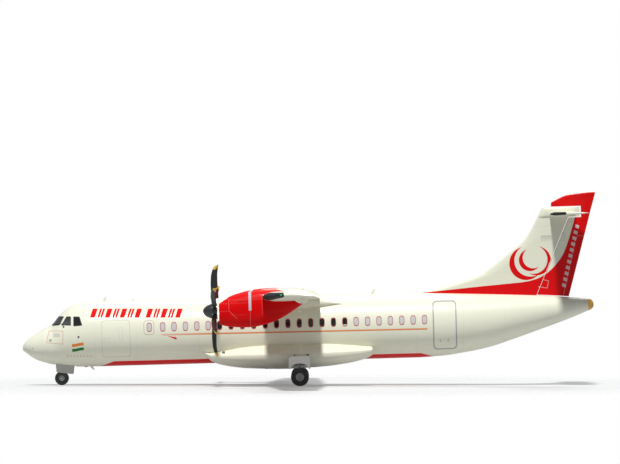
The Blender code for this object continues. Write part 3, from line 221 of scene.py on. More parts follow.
def eased(corners, radius, count=96):
    """A closed outline whose corners are eased by a quadratic curve, with points spaced evenly along it."""
    c = np.asarray(corners, float)
    before, after = unit(np.roll(c, 1, axis=0) - c), unit(np.roll(c, -1, axis=0) - c)
    t = np.linspace(0.0, 1.0, 9)[None, :, None]
    a, b = (c + radius * before)[:, None], (c + radius * after)[:, None]
    line = ((1 - t) ** 2 * a + 2 * t * (1 - t) * c[:, None] + t ** 2 * b).reshape(-1, 2)
    line = np.vstack((line, line[:1]))
    run = np.concatenate(((0.0,), np.cumsum(np.linalg.norm(np.diff(line, axis=0), axis=1))))
    at = np.linspace(0.0, run[-1], count, endpoint=False)
    return np.stack((np.interp(at, run, line[:, 0]), np.interp(at, run, line[:, 1])), axis=-1)


def oblong(opening, inset=0.0, count=96):
    """The eased outline of an opening, drawn in by inset."""
    u0, u1, w0, w1, radius = opening
    u0, u1, w0, w1 = u0 + inset, u1 - inset, w0 + inset, w1 - inset
    return eased(((u0, w0), (u1, w0), (u1, w1), (u0, w1)), radius * 1.6, count)


def on_skin(outline):
    """A side-view outline (u, w) as (station, angle) on the skin."""
    return np.stack((outline[:, 0], skin_angle(outline[:, 0], outline[:, 1])), axis=-1)


def opening_on_skin(opening, inset=0.0):
    return on_skin(oblong(opening, inset))


def skin_plate(outline, profile, side=-1, hole=None):
    """A closed plate that follows the skin.

    The profile is a path of (share, lift): share runs from the outline's middle, or from a hole's outline, to
    the outline itself, and lift is the height over the skin. The path is carried round the outline.
    """
    share, lift = (np.asarray(v, float) for v in zip(*profile))
    inner = outline.mean(axis=0)[None] if hole is None else hole
    spot = inner[None] + share[:, None, None] * (outline - inner)[None]
    return skin(spot[..., 0], spot[..., 1], lift[:, None], side)


def plate_profile(top, bottom, steps=8):
    """Out over the top face, down the edge and back over the bottom face."""
    out = [(s, top) for s in np.linspace(0.0, 1.0, steps + 1)]
    return out + [(s, bottom) for s in np.linspace(1.0, 0.0, steps + 1)]


def lathe(profile, centre, axis=(0, 1, 0), sides=96):
    """Turns (distance along the axis, radius) about a line through centre."""
    along, radius = (np.asarray(v, float)[:, None, None] for v in zip(*profile))
    axis = unit(np.asarray(axis, float))
    first = np.cross(axis, (0.0, 0.0, 1.0))
    if np.linalg.norm(first) < 0.1:
        first = np.cross(axis, (1.0, 0.0, 0.0))
    first = unit(first)
    angle = turn_angles(sides, 0.5)[None, :, None]
    ring = np.cos(angle) * first + np.sin(angle) * np.cross(first, axis)
    return np.asarray(centre, float) + along * axis + radius * ring


def bar(start, end, radius, sides=24, bevel=0.15):
    """A round bar between two points, with eased ends."""
    run, soft = np.subtract(end, start), radius * bevel
    length = float(np.linalg.norm(run))
    return lathe(((0.0, 0.0), (0.0, radius - soft), (soft, radius), (length - soft, radius),
                  (length, radius - soft), (length, 0.0)), start, run, sides)


def block(low, high, power=6.0, sides=48, rings=10, axis=2):
    """A block with round edges: superellipse slices that draw in at both ends of the axis."""
    low, high = np.asarray(low, float), np.asarray(high, float)
    end = np.linspace(-1.0, 1.0, rings)[:, None]
    end = np.sign(end) * np.abs(end) ** 0.35
    draw = (1.0 - np.abs(end) ** power) ** (1.0 / power)
    made = [end] + [v * draw for v in squarish(turn_angles(sides)[None, :], 2.0 / power)]
    return (low + high) / 2 + (high - low) / 2 * stack(*made[-axis:], *made[:-axis])


def tube(points, radius, sides=12, count=24):
    """A round tube along a path: a quadratic B-spline through the middles of its runs."""
    p = np.asarray(points, float)
    knots = np.concatenate((p[:1], (p[1:-2] + p[2:-1]) / 2, p[-1:]))
    t = np.linspace(0.0, len(knots) - 1.0 - 1e-9, count)
    i, s = t.astype(int), (t % 1.0)[:, None]
    line = (1 - s) ** 2 * knots[i] + 2 * s * (1 - s) * p[i + 1] + s ** 2 * knots[i + 1]
    along = unit(np.gradient(line, axis=0))
    first = unit(np.cross(along, (0.0, 1.0, 0.0)))
    angle = turn_angles(sides)[None, :, None]
    ring = np.cos(angle) * first[:, None] + np.sin(angle) * np.cross(along, first)[:, None]
    return line[:, None] + radius * ring


def slab(outline, y0, y1, soft=0.006):
    """A plate from a side-view outline between two y planes, with eased edges."""
    middle, size = outline.mean(axis=0), np.ptp(outline, axis=0).max() / 2
    scale = 1.0 - np.array((soft, 0.0, 0.0, soft))[:, None] / size
    u, w = (middle[k] + (outline[:, k] - middle[k]) * scale for k in (0, 1))
    return stack(u, mixed(y0, y1, np.array((0.0, 0.15, 0.85, 1.0))[:, None]), w)


class Shape:
    """Grids of points in the aircraft's axes that add up to one closed mesh."""

    def __init__(self, *grids):
        self.points, self.faces, self.count = [], [], 0
        for grid in grids:
            self.add(grid)

    def add(self, grid, caps=True):
        """Skins a grid of rings. Rings close on themselves, and open ends are capped."""
        rows, columns = grid.shape[:2]
        i, j = np.arange(rows - 1)[:, None], np.arange(columns)[None, :]
        a, b = i * columns + j, i * columns + (j + 1) % columns
        quads = np.stack((a, b, b + columns, a + columns), axis=-1).reshape(-1, 4) + self.count
        self.faces.extend(quads.tolist())
        looped = np.abs(grid[0] - grid[-1]).max() < 1e-6
        for row in (0, rows - 1) if caps and not looped else ():
            if np.ptp(grid[row], axis=0).max() > 1e-6:
                self.faces.append(list(range(self.count + row * columns, self.count + (row + 1) * columns)))
        self.points.append(grid.reshape(-1, 3))
        self.count += rows * columns

    def mesh(self, finish=None):
        """The mesh in its finish, with its doubles merged and its faces turned outwards."""
        mesh = bpy.data.meshes.new("form")
        mesh.from_pydata(np.concatenate(self.points).tolist(), [], self.faces)
        form = bmesh.new()
        form.from_mesh(mesh)
        bmesh.ops.remove_doubles(form, verts=form.verts, dist=2e-6)
        bmesh.ops.dissolve_degenerate(form, dist=1e-6, edges=form.edges)
        bmesh.ops.recalc_face_normals(form, faces=form.faces)
        form.to_mesh(mesh)
        form.free()
        if finish:
            mesh.materials.append(finish_of(finish))
        return mesh


def box(low, high, finish=None):
    (x0, y0, z0), (x1, y1, z1) = low, high
    rings = [[(x, y0, z0), (x, y1, z0), (x, y1, z1), (x, y0, z1)] for x in (x0, x1)]
    return Shape(np.array(rings, float)).mesh(finish)


def put(name, data):
    """A new object in the scene."""
    made = bpy.data.objects.new(name, data)
    bpy.context.scene.collection.objects.link(made)
    return made


def carve(mesh, *cutters, operation="DIFFERENCE"):
    """Cuts or joins a closed mesh with others, exactly. Cut faces keep the cutter's material."""
    made = [put("carve", m) for m in (mesh, *cutters)]
    for cutter in made[1:]:
        modifier = made[0].modifiers.new("carve", "BOOLEAN")
        modifier.operation, modifier.solver, modifier.object = operation, "EXACT", cutter
        modifier.material_mode = "TRANSFER"
    graph = bpy.context.evaluated_depsgraph_get()
    result = bpy.data.meshes.new_from_object(made[0].evaluated_get(graph), depsgraph=graph)
    for one in made:
        bpy.data.objects.remove(one)
    return result


def set_piece(name, mesh, slot, *nodes, body="airframe", place=STANCE, sharp=32.0):
    """Sets a finished mesh in the row frame, with the nodes it stands for and its body. The slot is not used.
    """
    mesh.transform(place)
    mesh.shade_smooth()
    mesh.set_sharp_from_angle(angle=math.radians(sharp))
    mesh.name = name
    made = put(name, mesh)
    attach(made, body)
    if nodes:
        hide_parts(*nodes)


# Shader sums

class Shade:
    """One node material: makes nodes, and hands out their sockets as wires."""

    def __init__(self, name):
        self.material = bpy.data.materials.new(name)
        self.material.use_nodes = True
        self.tree = self.material.node_tree
        self.shader = self.tree.nodes["Principled BSDF"]

    def node(self, kind, settings=(), inputs=(), output=0):
        """Makes a node with its settings first, then its sockets' values or links."""
        node = self.tree.nodes.new(kind)
        for key, value in dict(settings).items():
            setattr(node, key, value)
        for key, value in dict(inputs).items():
            self.plug(node.inputs[key], value)
        return Wire(self, node.outputs[output])

    def plug(self, socket, value):
        """Links a wire to a socket, or sets the socket's own value to a number or colour."""
        if isinstance(value, Wire):
            self.tree.links.new(value.socket, socket)
        elif isinstance(value, tuple) and socket.type == "RGBA":
            socket.default_value = (*value, 1.0)
        else:
            socket.default_value = value

    def place(self):
        """Object coordinates as three wires."""
        spot = self.node("ShaderNodeTexCoord", output=3)
        return [self.node("ShaderNodeSeparateXYZ", (), {0: spot}, axis) for axis in range(3)]

    def axes(self):
        """Object coordinates turned back to the aircraft's axes: u, y and w."""
        x, y, z = self.place()
        a, b = x - SHIFT, z - HEIGHT
        return a * COS + b * SIN, y, b * COS - a * SIN

    def mix(self, mask, *ends):
        """The first colour where the mask is 0 and the second where it is 1. A name stands for a paint."""
        first, second = (tint(end) if isinstance(end, str) else end for end in ends)
        return self.node("ShaderNodeMix", {"data_type": "RGBA", "clamp_factor": True},
                         {0: mask, 6: first, 7: second}, 2)

    def coats(self, colour, *coats):
        """Lays coats over a colour, each a mask and the colour that it shows where it is 1."""
        for mask, over in coats:
            colour = self.mix(mask, colour, over)
        return colour

    def noise(self, scale, detail=3.0, roughness=0.5, stretch=None):
        """Fine variation over the piece, from 0 to 1, with its pattern stretched along the axes if asked."""
        spot = self.node("ShaderNodeTexCoord", output=3)
        if stretch:
            spot = self.node("ShaderNodeMapping", (), {0: spot, 3: stretch})
        return self.node("ShaderNodeTexNoise", (), {"Vector": spot, "Scale": scale, "Detail": detail,
                                                    "Roughness": roughness})

    def bump(self, height, strength, distance):
        return self.node("ShaderNodeBump", (), {"Height": height, "Strength": strength, "Distance": distance})

    def finish(self, **sockets):
        """Plugs the shader's sockets."""
        for key, value in sockets.items():
            self.plug(self.shader.inputs[key.replace("_", " ")], value)
        return self.material


def either_way(operation):
    """Two sums: of a wire and what follows it, and of what comes before it and the wire."""
    def after(wire, other):
        return wire.sum(operation, other)

    def before(wire, other):
        return wire.shade.node("ShaderNodeMath", {"operation": operation}, {0: other, 1: wire})
    return after, before


class Wire:
    """A socket that can be added, scaled and compared in plain Python."""

    def __init__(self, shade, socket):
        self.shade, self.socket = shade, socket

    def sum(self, operation, *others):
        return self.shade.node("ShaderNodeMath", {"operation": operation}, dict(enumerate((self, *others))))

    __add__, __radd__ = either_way("ADD")
    __sub__, __rsub__ = either_way("SUBTRACT")
    __mul__, __rmul__ = either_way("MULTIPLY")
    __truediv__ = either_way("DIVIDE")[0]
    __pow__ = either_way("POWER")[0]
    least, most = either_way("MINIMUM")[0], either_way("MAXIMUM")[0]

    def __abs__(self):
        return self.sum("ABSOLUTE")

    def clip(self, low=0.0, high=1.0):
        return self.most(low).least(high)

    def rise(self, at, soft=0.004):
        """0 below a value and 1 above it, smooth over twice soft."""
        return self.shade.node("ShaderNodeMapRange", {"interpolation_type": "SMOOTHSTEP"},
                               {0: self - at, 1: -soft, 2: soft, 3: 0.0, 4: 1.0})

    def fall(self, at, soft=0.004):
        return 1.0 - self.rise(at, soft)

    def within(self, low, high, soft=0.004):
        return self.rise(low, soft) * self.fall(high, soft)

    def line(self, at, half=0.004, soft=0.003):
        return abs(self - at).fall(half, soft)

    def lines(self, places, half=0.004, soft=0.003):
        return any_of(self.line(at, half, soft) for at in places)


def any_of(masks):
    """1 where any of the masks is 1."""
    return reduce(Wire.most, masks)


def distance(du, dw):
    return (du * du + dw * dw) ** 0.5


# Sizes and colours that a user would change

def colour_property(name, description, default):
    return bpy.props.FloatVectorProperty(name=name, description=description, subtype="COLOR", size=3, min=0.0,
                                         max=1.0, default=default)


def length_property(name, description, default, low, high):
    return bpy.props.FloatProperty(name=name, description=description, unit="LENGTH", subtype="DISTANCE",
                                   default=default, min=low, max=high)


class AirlinerPaint(bpy.types.PropertyGroup):
    white: colour_property("White", "Cream-white of the fuselage, wings and tail", (0.84, 0.835, 0.68))
    red: colour_property("Red", "Red of the nacelles, belly band and tail", (0.74, 0.001, 0.002))
    stripe: colour_property("Stripe", "Orange of the thin line under the windows", (0.83, 0.30, 0.10))
    grey: colour_property("Grey", "Grey of the door outlines and panel gaps", (0.33, 0.33, 0.35))
    boot: colour_property("Boot", "Black of the rubber de-icing boots", (0.012, 0.015, 0.018))
    yellow: colour_property("Blade tips", "Yellow of the propeller blades' tips", (0.80, 0.55, 0.05))
    pane: colour_property("Cabin pane", "Pale shade behind the cabin windows", (0.66, 0.62, 0.63))
    gloss: bpy.props.FloatProperty(name="Gloss", description="Clear coat over the paint", subtype="FACTOR",
                                   min=0.0, max=1.0, default=0.06)


class AirlinerSizes(bpy.types.PropertyGroup):
    window_width: length_property("Window width", "Clear width of a cabin window", 0.225, 0.1, 0.4)
    window_height: length_property("Window height", "Clear height of a cabin window", 0.40, 0.2, 0.6)
    stripe_width: length_property("Stripe width", "Width of the orange line", 0.070, 0.01, 0.3)
    tip_length: length_property("Tip length", "Length of each blade's yellow tip", 0.19, 0.0, 0.5)
    tread_grooves: bpy.props.IntProperty(name="Tread grooves", description="Grooves round each tyre's tread",
                                         default=4, min=2, max=6)


def sizes():
    return bpy.context.scene.airliner_sizes


def tint(name):
    return tuple(getattr(bpy.context.scene.airliner_paint, name))


# Finishes

FINISHES = {}


def finish_of(name):
    """Each finish is made once and shared by the pieces that wear it."""
    if name not in FINISHES:
        FINISHES[name] = PAINTED[name]() if name in PAINTED else plain_finish(*PLAIN[name])
    return FINISHES[name]


def start_white(name):
    """A finish's shade, its axes, and the white with faint dirt: streaks that run aft, darker low down."""
    shade = Shade(name)
    u, y, w = shade.axes()
    streaks = shade.noise(1.0, 4.0, 0.6, (0.7, 6.0, 7.0))
    speck = shade.noise(3.0, 5.0, 0.6)
    grime = (streaks * 0.6 + speck * 0.4).rise(0.52, 0.25)
    low = w.fall(-0.7, 0.7)
    return shade, u, y, w, shade.mix(grime * (0.06 + low * 0.10), "white", (0.42, 0.40, 0.34))


def paint_surface(shade, colour, lines, roughness=0.38, peel=0.12, matt=None, ior=1.33):
    """Gloss paint: orange peel and panel seams in the bump, uneven polish, and matt where masked."""
    height = shade.noise(60.0, 2.0, 0.5) * 0.15 + shade.noise(0.9, 2.0, 0.5) * 0.5 - lines
    rough = shade.noise(2.5, 4.0, 0.6) * 0.14 + (roughness - 0.07)
    coat = bpy.context.scene.airliner_paint.gloss
    if matt is not None:
        rough = rough + matt * (0.85 - rough)
        coat = (1.0 - matt) * coat
    return shade.finish(Base_Color=colour, Roughness=rough, Normal=shade.bump(height, peel, 0.003),
                        Coat_Weight=coat, Coat_Roughness=0.08, IOR=ior)


def outline_mask(u, w, opening, half, soft=0.006):
    """A band along an opening's outline, as the distance from a box with round corners."""
    u0, u1, w0, w1, radius = opening
    du, dw = abs(u - (u0 + u1) / 2) - (u1 - u0) / 2, abs(w - (w0 + w1) / 2) - (w1 - w0) / 2
    corner = distance((du + radius).most(0.0), (dw + radius).most(0.0)) - radius
    return abs(corner.most(du.most(dw))).fall(half, soft)


def route_mask(u, w, points, half=0.008, soft=0.004):
    """A line through points: the distance to each run is the length of (offset - run * share along it)."""
    masks = []
    for (u0, w0), (u1, w1) in zip(points, points[1:]):
        du, dw, length = u1 - u0, w1 - w0, math.hypot(u1 - u0, w1 - w0)
        along = (((u - u0) * du + (w - w0) * dw) / length ** 2).clip()
        masks.append(distance(u - u0 - along * du, w - w0 - along * dw).fall(half, soft))
    return any_of(masks)


def fuselage_finish():
    """Cream-white gloss with the belly band, thin stripe, slanted bars, pennant, door outlines and seams."""
    shade, u, y, w, colour = start_white("airframe_white")
    port = y.fall(0.0, 0.01)
    frames = u.lines((-12.05, -9.62, -7.75, -4.90, -1.2, 1.9, 4.95, 7.05, 8.95, 10.95, 12.4), 0.004, 0.004)
    seams = frames.most(w.lines((0.93, -0.62), 0.003, 0.004) * u.within(-9.6, 9.0))
    edge = -1.252 - (-8.80 - u).clip(0.0, 0.7) * 0.34 - (u - 5.10).clip(0.0, 0.7) * 0.29 - (u + 8.8) * 0.0012
    belly = (edge - w).rise(0.0, 0.008) * u.within(-9.46, 5.79)
    # thin stripe under the windows, with a pointed front and a small dart under it
    off = w + (u + 6.657) * 0.005865 + 0.098
    half = ((u + 6.72) * 4.0).clip() * (sizes().stripe_width / 2)
    stripe = (half - abs(off)).rise(0.0, 0.006) * u.within(-6.72, 5.42)
    pale = tuple(0.5 * part + 0.42 for part in tint("stripe"))
    orange = shade.mix(((u + 6.7) * 0.45).clip(), pale, "stripe")
    orange = shade.mix(off.fall(-0.006, 0.01) * 0.5, orange, (0.52, 0.10, 0.03))
    run = (u + 6.36) / 0.46
    half = (run * 0.10).least((1.0 - run) * 0.45 + 0.012) * 0.62
    dart = (half - abs(w + run * 0.145 + 0.155)).rise(0.0, 0.006) * u.within(-6.36, -5.90)
    # slanted bars high on the forward side, in two groups: every second bar is a pair of thin ones
    level = w + (u + 9.8) * 0.0279
    lean = u - (level - 0.78) * 0.34
    lean = lean + lean.rise(-7.38, 0.01) * 0.17
    cell = (lean + 9.86) / 0.335
    part = cell.sum("FRACT")
    pairs = (cell * 0.5).sum("FRACT").rise(0.5, 0.01) * part.within(0.39, 0.51, 0.02)
    bars = part.within(0.12, 0.78, 0.02) * level.within(0.765, 1.165, 0.006) * lean.within(-9.86, -5.56)
    bars = bars * (1.0 - pairs) * (1.0 - lean.within(-7.50, -7.20, 0.006))
    # small pennant of two waved bands, and the dashed line under it
    wave = w - ((u + 10.405) * 6.5).sum("SINE") * 0.030
    pennant = u.within(-10.67, -10.14, 0.006)
    dashes = (u * 42.0).sum("SINE").rise(-0.2, 0.3) * u.within(-10.98, -9.70) * level.within(-1.01, -0.96)
    # outlines of the doors and hatches, the vent, and the marks on the entry door
    faint = (outline_mask(u, w, CARGO_DOOR, 0.006) * port).most(
        outline_mask(u, w, SERVICE_DOOR, 0.020) * (1.0 - port))
    handle = outline_mask(u, w, (-8.52, -8.37, -0.29, 0.28, 0.03), 0.006) + outline_mask(
        u, w, (-9.20, -8.925, -0.385, -0.20, 0.02), 0.005) * 0.8
    nose_hatch = route_mask(u, w, ((-11.707, 0.202), (-11.066, 0.184), (-11.083, -0.406), (-11.835, -0.325),
                                   (-11.707, 0.202)), 0.013, 0.006)
    vent = u.within(-11.51, -11.20, 0.012) * w.within(-0.083, 0.095, 0.012) * port
    slats = ((u * 60.0).sum("SINE") * 0.5 + 0.5) * 0.35 + 0.65
    ring = distance(u + 11.65, w + 0.226).line(0.055, 0.012) * port
    marks = w.within(-0.77, -0.65, 0.02) * (u.line(6.0, 0.04, 0.03) + u.line(6.36, 0.04, 0.03)) * port
    colour = shade.coats(
        colour, (seams * 0.30, "grey"), (belly, "red"), (stripe, orange), (dart, "red"), (bars, "red"),
        (pennant * wave.within(-0.515, -0.385, 0.006), (0.80, 0.22, 0.02)),
        (pennant * wave.within(-0.735, -0.605, 0.006), (0.01, 0.20, 0.03)),
        (dashes * 0.55, (0.62, 0.10, 0.09)), (outline_mask(u, w, STAIR_DOOR, 0.030) * port * 0.75, "grey"),
        (faint * 0.40, "grey"), (handle * port * 0.45, "grey"),
        (outline_mask(u, w, HATCH, 0.014) * 0.8, (0.42, 0.34, 0.31)),
        (nose_hatch * port * 0.75, (0.62, 0.22, 0.18)), (vent * slats * 0.40, (0.24, 0.24, 0.27)),
        (ring * 0.6, (0.12, 0.12, 0.13)), (marks * 0.5, "grey"))
    return paint_surface(shade, colour, seams * 0.8, matt=bars)


def plain_white_finish():
    """The same white for fairings and small fittings, with seams across it."""
    shade, u, _, w, colour = start_white("fairing_white")
    seams = any_of((u.line(-3.62), u.line(-1.72), u.line(1.16), u.line(2.2)))
    vent = u.within(-3.89, -3.76, 0.008) * w.within(-1.03, -0.93, 0.008)
    colour = shade.coats(colour, (seams * 0.28, "grey"), (vent * 0.9, (0.02, 0.02, 0.02)))
    return paint_surface(shade, colour, seams * 0.8)


def wing_finish():
    """White with the black boots along the leading edge, a walkway, access panels and seams."""
    shade, u, y, _, colour = start_white("wing_white")
    span = abs(y)
    root, tip = WING_LEAD
    back = u - (span - KINK_Y).most(0.0) * ((tip - root) / (HALF_SPAN - KINK_Y)) - root
    panels = (outline_mask(back, span, (0.60, 0.86, at - 0.16, at + 0.16, 0.08), 0.006)
              for at in (5.5, 7.3, 9.8, 11.8))
    seams = any_of((span.lines((2.4, 4.6, 6.4, 8.2, 9.16, 11.1, 12.7)), back.lines((0.42, 1.02)), *panels))
    boots = back.fall(0.30, 0.006) * (span.rise(4.72, 0.006) + span.within(1.62, 3.45, 0.006)).least(1.0)
    walk = span.within(1.5, 3.3, 0.01) * back.within(0.62, 1.50, 0.01)
    colour = shade.coats(colour, (seams * 0.35, "grey"), (walk * 0.12, (0.30, 0.30, 0.30)), (boots, "boot"))
    return paint_surface(shade, colour, seams * 0.8, 0.42, 0.08, boots.most(walk * 0.4))


def tail_red_mask(u, w):
    """Red aft of a curve that runs low along the fin's foot and sweeps up its hinge line."""
    table = np.array((
        (1.30, 3.30), (1.45, 5.20), (1.60, 7.05), (1.706, 8.386), (1.80, 9.75), (1.90, 10.34), (2.06, 10.73),
        (2.30, 11.08), (2.62, 11.40), (3.10, 11.73), (3.99, 12.066), (4.676, 12.275), (6.0, 12.65)))
    at = np.concatenate((np.linspace(1.30, 1.80, 5), np.linspace(1.86, 3.10, 14), np.linspace(3.4, 6.0, 6)))
    edge = read_table(table, 1, at)
    past = u - float(edge[0])
    for w0, length, step in zip(at.tolist(), np.diff(at).tolist(), np.diff(edge).tolist()):
        past = past - ((w - w0) * (step / length)).clip(0.0, step)
    return past.rise(0.0, 0.008)


def crescent(u, w, centre, radius, inner, shift):
    """Inside one circle and outside another that is moved along by shift."""
    du, dw = u - centre[0], w - centre[1]
    return distance(du, dw).fall(radius, 0.008) * distance(du - shift[0], dw - shift[1]).rise(inner, 0.008)


def hinge_steps(u, w):
    """Fine stepped lines round the rudder's three hinge brackets."""
    return any_of(route_mask(u, w, route, 0.012, 0.006) for route in (
        ((10.55, 1.58), (10.93, 1.51), (11.00, 1.84), (10.74, 1.90)),
        ((11.50, 3.67), (11.734, 3.66), (11.805, 3.98), (11.60, 4.05)),
        ((11.76, 4.545), (12.065, 4.454), (12.14, 4.70))))


def fin_finish():
    """White fin with the red sweep, three plain crescents, the hinge line's seams and a patch of painted
    shade.
    """
    shade, u, _, w, colour = start_white("fin_white")
    seams = w.lines((2.28, 3.56, 4.32))
    marks = any_of(crescent(u, w, *one) for one in (
        ((10.00, 2.66), 0.76, 0.725, (0.20, 0.12)), ((10.18, 2.80), 0.50, 0.475, (0.15, 0.10)),
        ((10.48, 2.76), 0.66, 0.645, (-0.15, 0.06))))
    # painted shade: a grey patch that darkens towards its top, as shade under a small blister on the fin
    panel = u.within(10.70, 11.19, 0.006) * w.within(3.62, 3.90, 0.006)
    colour = shade.coats(colour, (seams * 0.30, "grey"), (marks, "red"), (tail_red_mask(u, w), "red"),
                         (panel * ((w - 3.55) * 1.2), (0.24, 0.24, 0.22)),
                         (hinge_steps(u, w) * 0.85, (0.88, 0.82, 0.78)))
    return paint_surface(shade, colour, seams * 0.8)


def rudder_finish():
    """Red rudder, white ahead of the sweep, with pale bars and seams round the trim tab."""
    shade, u, _, w, colour = start_white("rudder_red")
    tab = route_mask(u, w, ((11.66, 1.15), (12.245, 3.626), (12.387, 3.854), (12.70, 3.82)))
    seams = tab.most(hinge_steps(u, w))
    across = u - (w - 1.5) * 0.25 - 11.67
    cell = (w - 1.5 + across * 0.4) / 0.265
    bars = cell.sum("FRACT").within(0.16, 0.72, 0.02) * across.within(-0.095, 0.095, 0.006)
    colour = shade.coats(colour, (tail_red_mask(u, w).most(w.rise(5.12, 0.01)), "red"),
                         (seams * 0.75, (0.66, 0.50, 0.47)),
                         (bars * cell.within(0.0, 11.0, 0.01) * 0.85, (0.72, 0.60, 0.58)))
    return paint_surface(shade, colour, seams)


def tailplane_finish():
    """White tailplane with a black boot and ribbed seams."""
    shade, u, y, _, colour = start_white("tailplane_white")
    span = abs(y)
    root, tip = TAILPLANE_LEAD
    back = u - (span * ((tip - root) / TAILPLANE_HALF_SPAN) + root)
    seams = back.line(0.34).most(span.lines((1.5, 2.7)))
    boot = back.fall(0.26, 0.006) * span.rise(0.35, 0.006)
    colour = shade.coats(colour, (seams * 0.3, "grey"), (boot, "boot"))
    return paint_surface(shade, colour, seams * 0.8, 0.40, 0.08, boot)


def nacelle_finish():
    """Red cowling with its bright band, the cowl doors' fine seams and rows of fasteners."""
    shade = Shade("nacelle_red")
    u, y, w = shade.axes()
    red = tint("red")
    smear = shade.noise(2.0, 4.0, 0.6)
    band = u.within(-2.60, -2.48, 0.006) * w.rise(0.92, 0.01)
    seams = any_of((u.line(-2.54, 0.006) * w.fall(0.92), u.line(-3.49, 0.006) * w.within(0.93, 1.474),
                    abs(u + (w - 0.93) * 0.97 + 3.49).fall(0.009, 0.004) * w.within(0.555, 0.93),
                    u.line(-2.0, 0.005) * w.within(0.7, 1.5) * 0.6,
                    w.line(1.42, 0.005) * u.within(-3.49, -1.1) * 0.5))
    dots = (u * 52.0).sum("SINE").rise(0.55, 0.2)
    rows = (w.line(0.91, 0.010) + w.line(1.253, 0.010)) * u.within(-3.87, -3.58) * dots
    rows = rows.most((w.line(0.74, 0.010) + w.line(1.26, 0.008)) * u.within(-3.4, -2.7) * dots * 0.6)
    soot = u.rise(-1.75, 0.5) * w.fall(1.1, 0.4) * abs(abs(y) - ENGINE_Y).rise(0.2, 0.2) * smear
    colour = shade.coats(
        shade.mix(smear.rise(0.5, 0.3) * 0.18, red, tuple(0.72 * part for part in red)),
        ((seams + rows).least(1.0) * 0.45, tuple(0.45 + 0.4 * part for part in red)),
        (distance(u + 2.98, w - 1.31).fall(0.035, 0.01), (0.06, 0.01, 0.01)), (band, (0.55, 0.56, 0.60)),
        (soot * 0.22, (0.05, 0.02, 0.02)))
    return paint_surface(shade, colour, (seams + rows) * 0.7, 0.46, ior=1.18)


def blade_finish():
    """Black composite with a darker cuff at the root and yellow tips."""
    shade = Shade("blade_composite")
    _, y, w = shade.axes()
    radius = distance(abs(y) - ENGINE_Y, w - THRUST_Z)
    weave, smear = shade.noise(140.0, 2.0, 0.5), shade.noise(5.0, 4.0, 0.65)
    tip = radius.rise(PROP_RADIUS - sizes().tip_length, 0.006)
    cuff = radius.within(0.30, 0.50, 0.006)
    colour = shade.coats(shade.mix(smear, (0.014, 0.015, 0.017), (0.034, 0.035, 0.038)), (tip, "yellow"),
                         (cuff * 0.4, (0.05, 0.05, 0.05)))
    return shade.finish(Base_Color=colour, Roughness=smear * 0.2 + 0.34, Coat_Weight=0.1,
                        Normal=shade.bump(weave, 0.08, 0.001))


def spinner_finish():
    """Dark satin cowl with a seam near its back plate."""
    shade = Shade("spinner_dark")
    u, _, _ = shade.axes()
    smear = shade.noise(6.0, 4.0, 0.6)
    seam = u.line(-4.095).most(u.line(-4.33, 0.003))
    colour = shade.coats(shade.mix(smear, (0.022, 0.023, 0.026), (0.05, 0.052, 0.056)),
                         (seam * 0.6, (0.01, 0.01, 0.01)))
    return shade.finish(Base_Color=colour, Roughness=smear * 0.14 + 0.26, Coat_Weight=0.2,
                        Normal=shade.bump(0.0 - seam, 0.3, 0.002))


def tyre_finish():
    """Matt rubber, dusty in patches."""
    shade = Shade("tyre_rubber")
    dust = shade.noise(9.0, 5.0, 0.65)
    colour = shade.mix(dust.rise(0.5, 0.3), (0.026, 0.026, 0.027), (0.075, 0.071, 0.066))
    return shade.finish(Base_Color=colour, Roughness=dust * 0.2 + 0.66,
                        Normal=shade.bump(shade.noise(150.0, 2.0, 0.5), 0.2, 0.001))


def pane_finish():
    """Cabin panes: pale shades behind glossy glass, with a painted reflection of the wing's dark underside on
    the panes below the wing.
    """
    shade = Shade("cabin_pane")
    u, _, w = shade.axes()
    # painted reflection: the panes below the wing are near black, as the wing's dark underside would show in
    # them, all but the low part of the rearmost dark pane
    dark = u.within(-4.35, 1.93, 0.06) * (1.0 - u.within(1.35, 2.1, 0.02) * (0.19 - w).rise(0.05, 0.01))
    smear = shade.noise(7.0, 3.0, 0.5)
    colour = shade.coats(tint("pane"), (smear * 0.4, (0.54, 0.51, 0.52)), (dark, (0.012, 0.011, 0.011)))
    return shade.finish(Base_Color=colour, Roughness=smear * 0.06 + 0.08, Coat_Weight=0.4,
                        Coat_Roughness=0.03, IOR=1.45)


def deck_pane_finish():
    """Dark flight-deck glass, paler and uneven towards the bottom of the front two panes a side."""
    shade = Shade("flight_deck_pane")
    u, _, w = shade.axes()
    smear = shade.noise(4.0, 3.0, 0.5)
    # paler grey low on the front two panes a side, with random variation
    paler_low_glass = (w.fall(0.62, 0.25) * 0.5 + smear * 0.4) * (1.0 - u.rise(-10.64, 0.02))
    return shade.finish(Base_Color=shade.mix(paler_low_glass, (0.012, 0.012, 0.013), (0.12, 0.118, 0.12)),
                        Roughness=smear * 0.05 + 0.05, IOR=1.5, Coat_Weight=0.5)


def plain_finish(name, dark, light, scale, rough, spread, metallic=0.0, grain=0.1, coat=0.0):
    """A finish that varies between two colours, with grain in its bump and an uneven polish."""
    shade = Shade(name)
    smear, fine = shade.noise(scale, 4.0, 0.6), shade.noise(scale * 22.0, 2.0, 0.5)
    return shade.finish(Base_Color=shade.mix(smear, dark, light), Roughness=smear * spread + rough,
                        Metallic=metallic, Normal=shade.bump(fine, grain, 0.001), Coat_Weight=coat)


PAINTED = {
    "fuselage": fuselage_finish, "white": plain_white_finish, "wing": wing_finish, "fin": fin_finish,
    "rudder": rudder_finish, "tailplane": tailplane_finish, "nacelle": nacelle_finish, "blade": blade_finish,
    "spinner": spinner_finish, "tyre": tyre_finish, "pane": pane_finish, "deck_pane": deck_pane_finish}
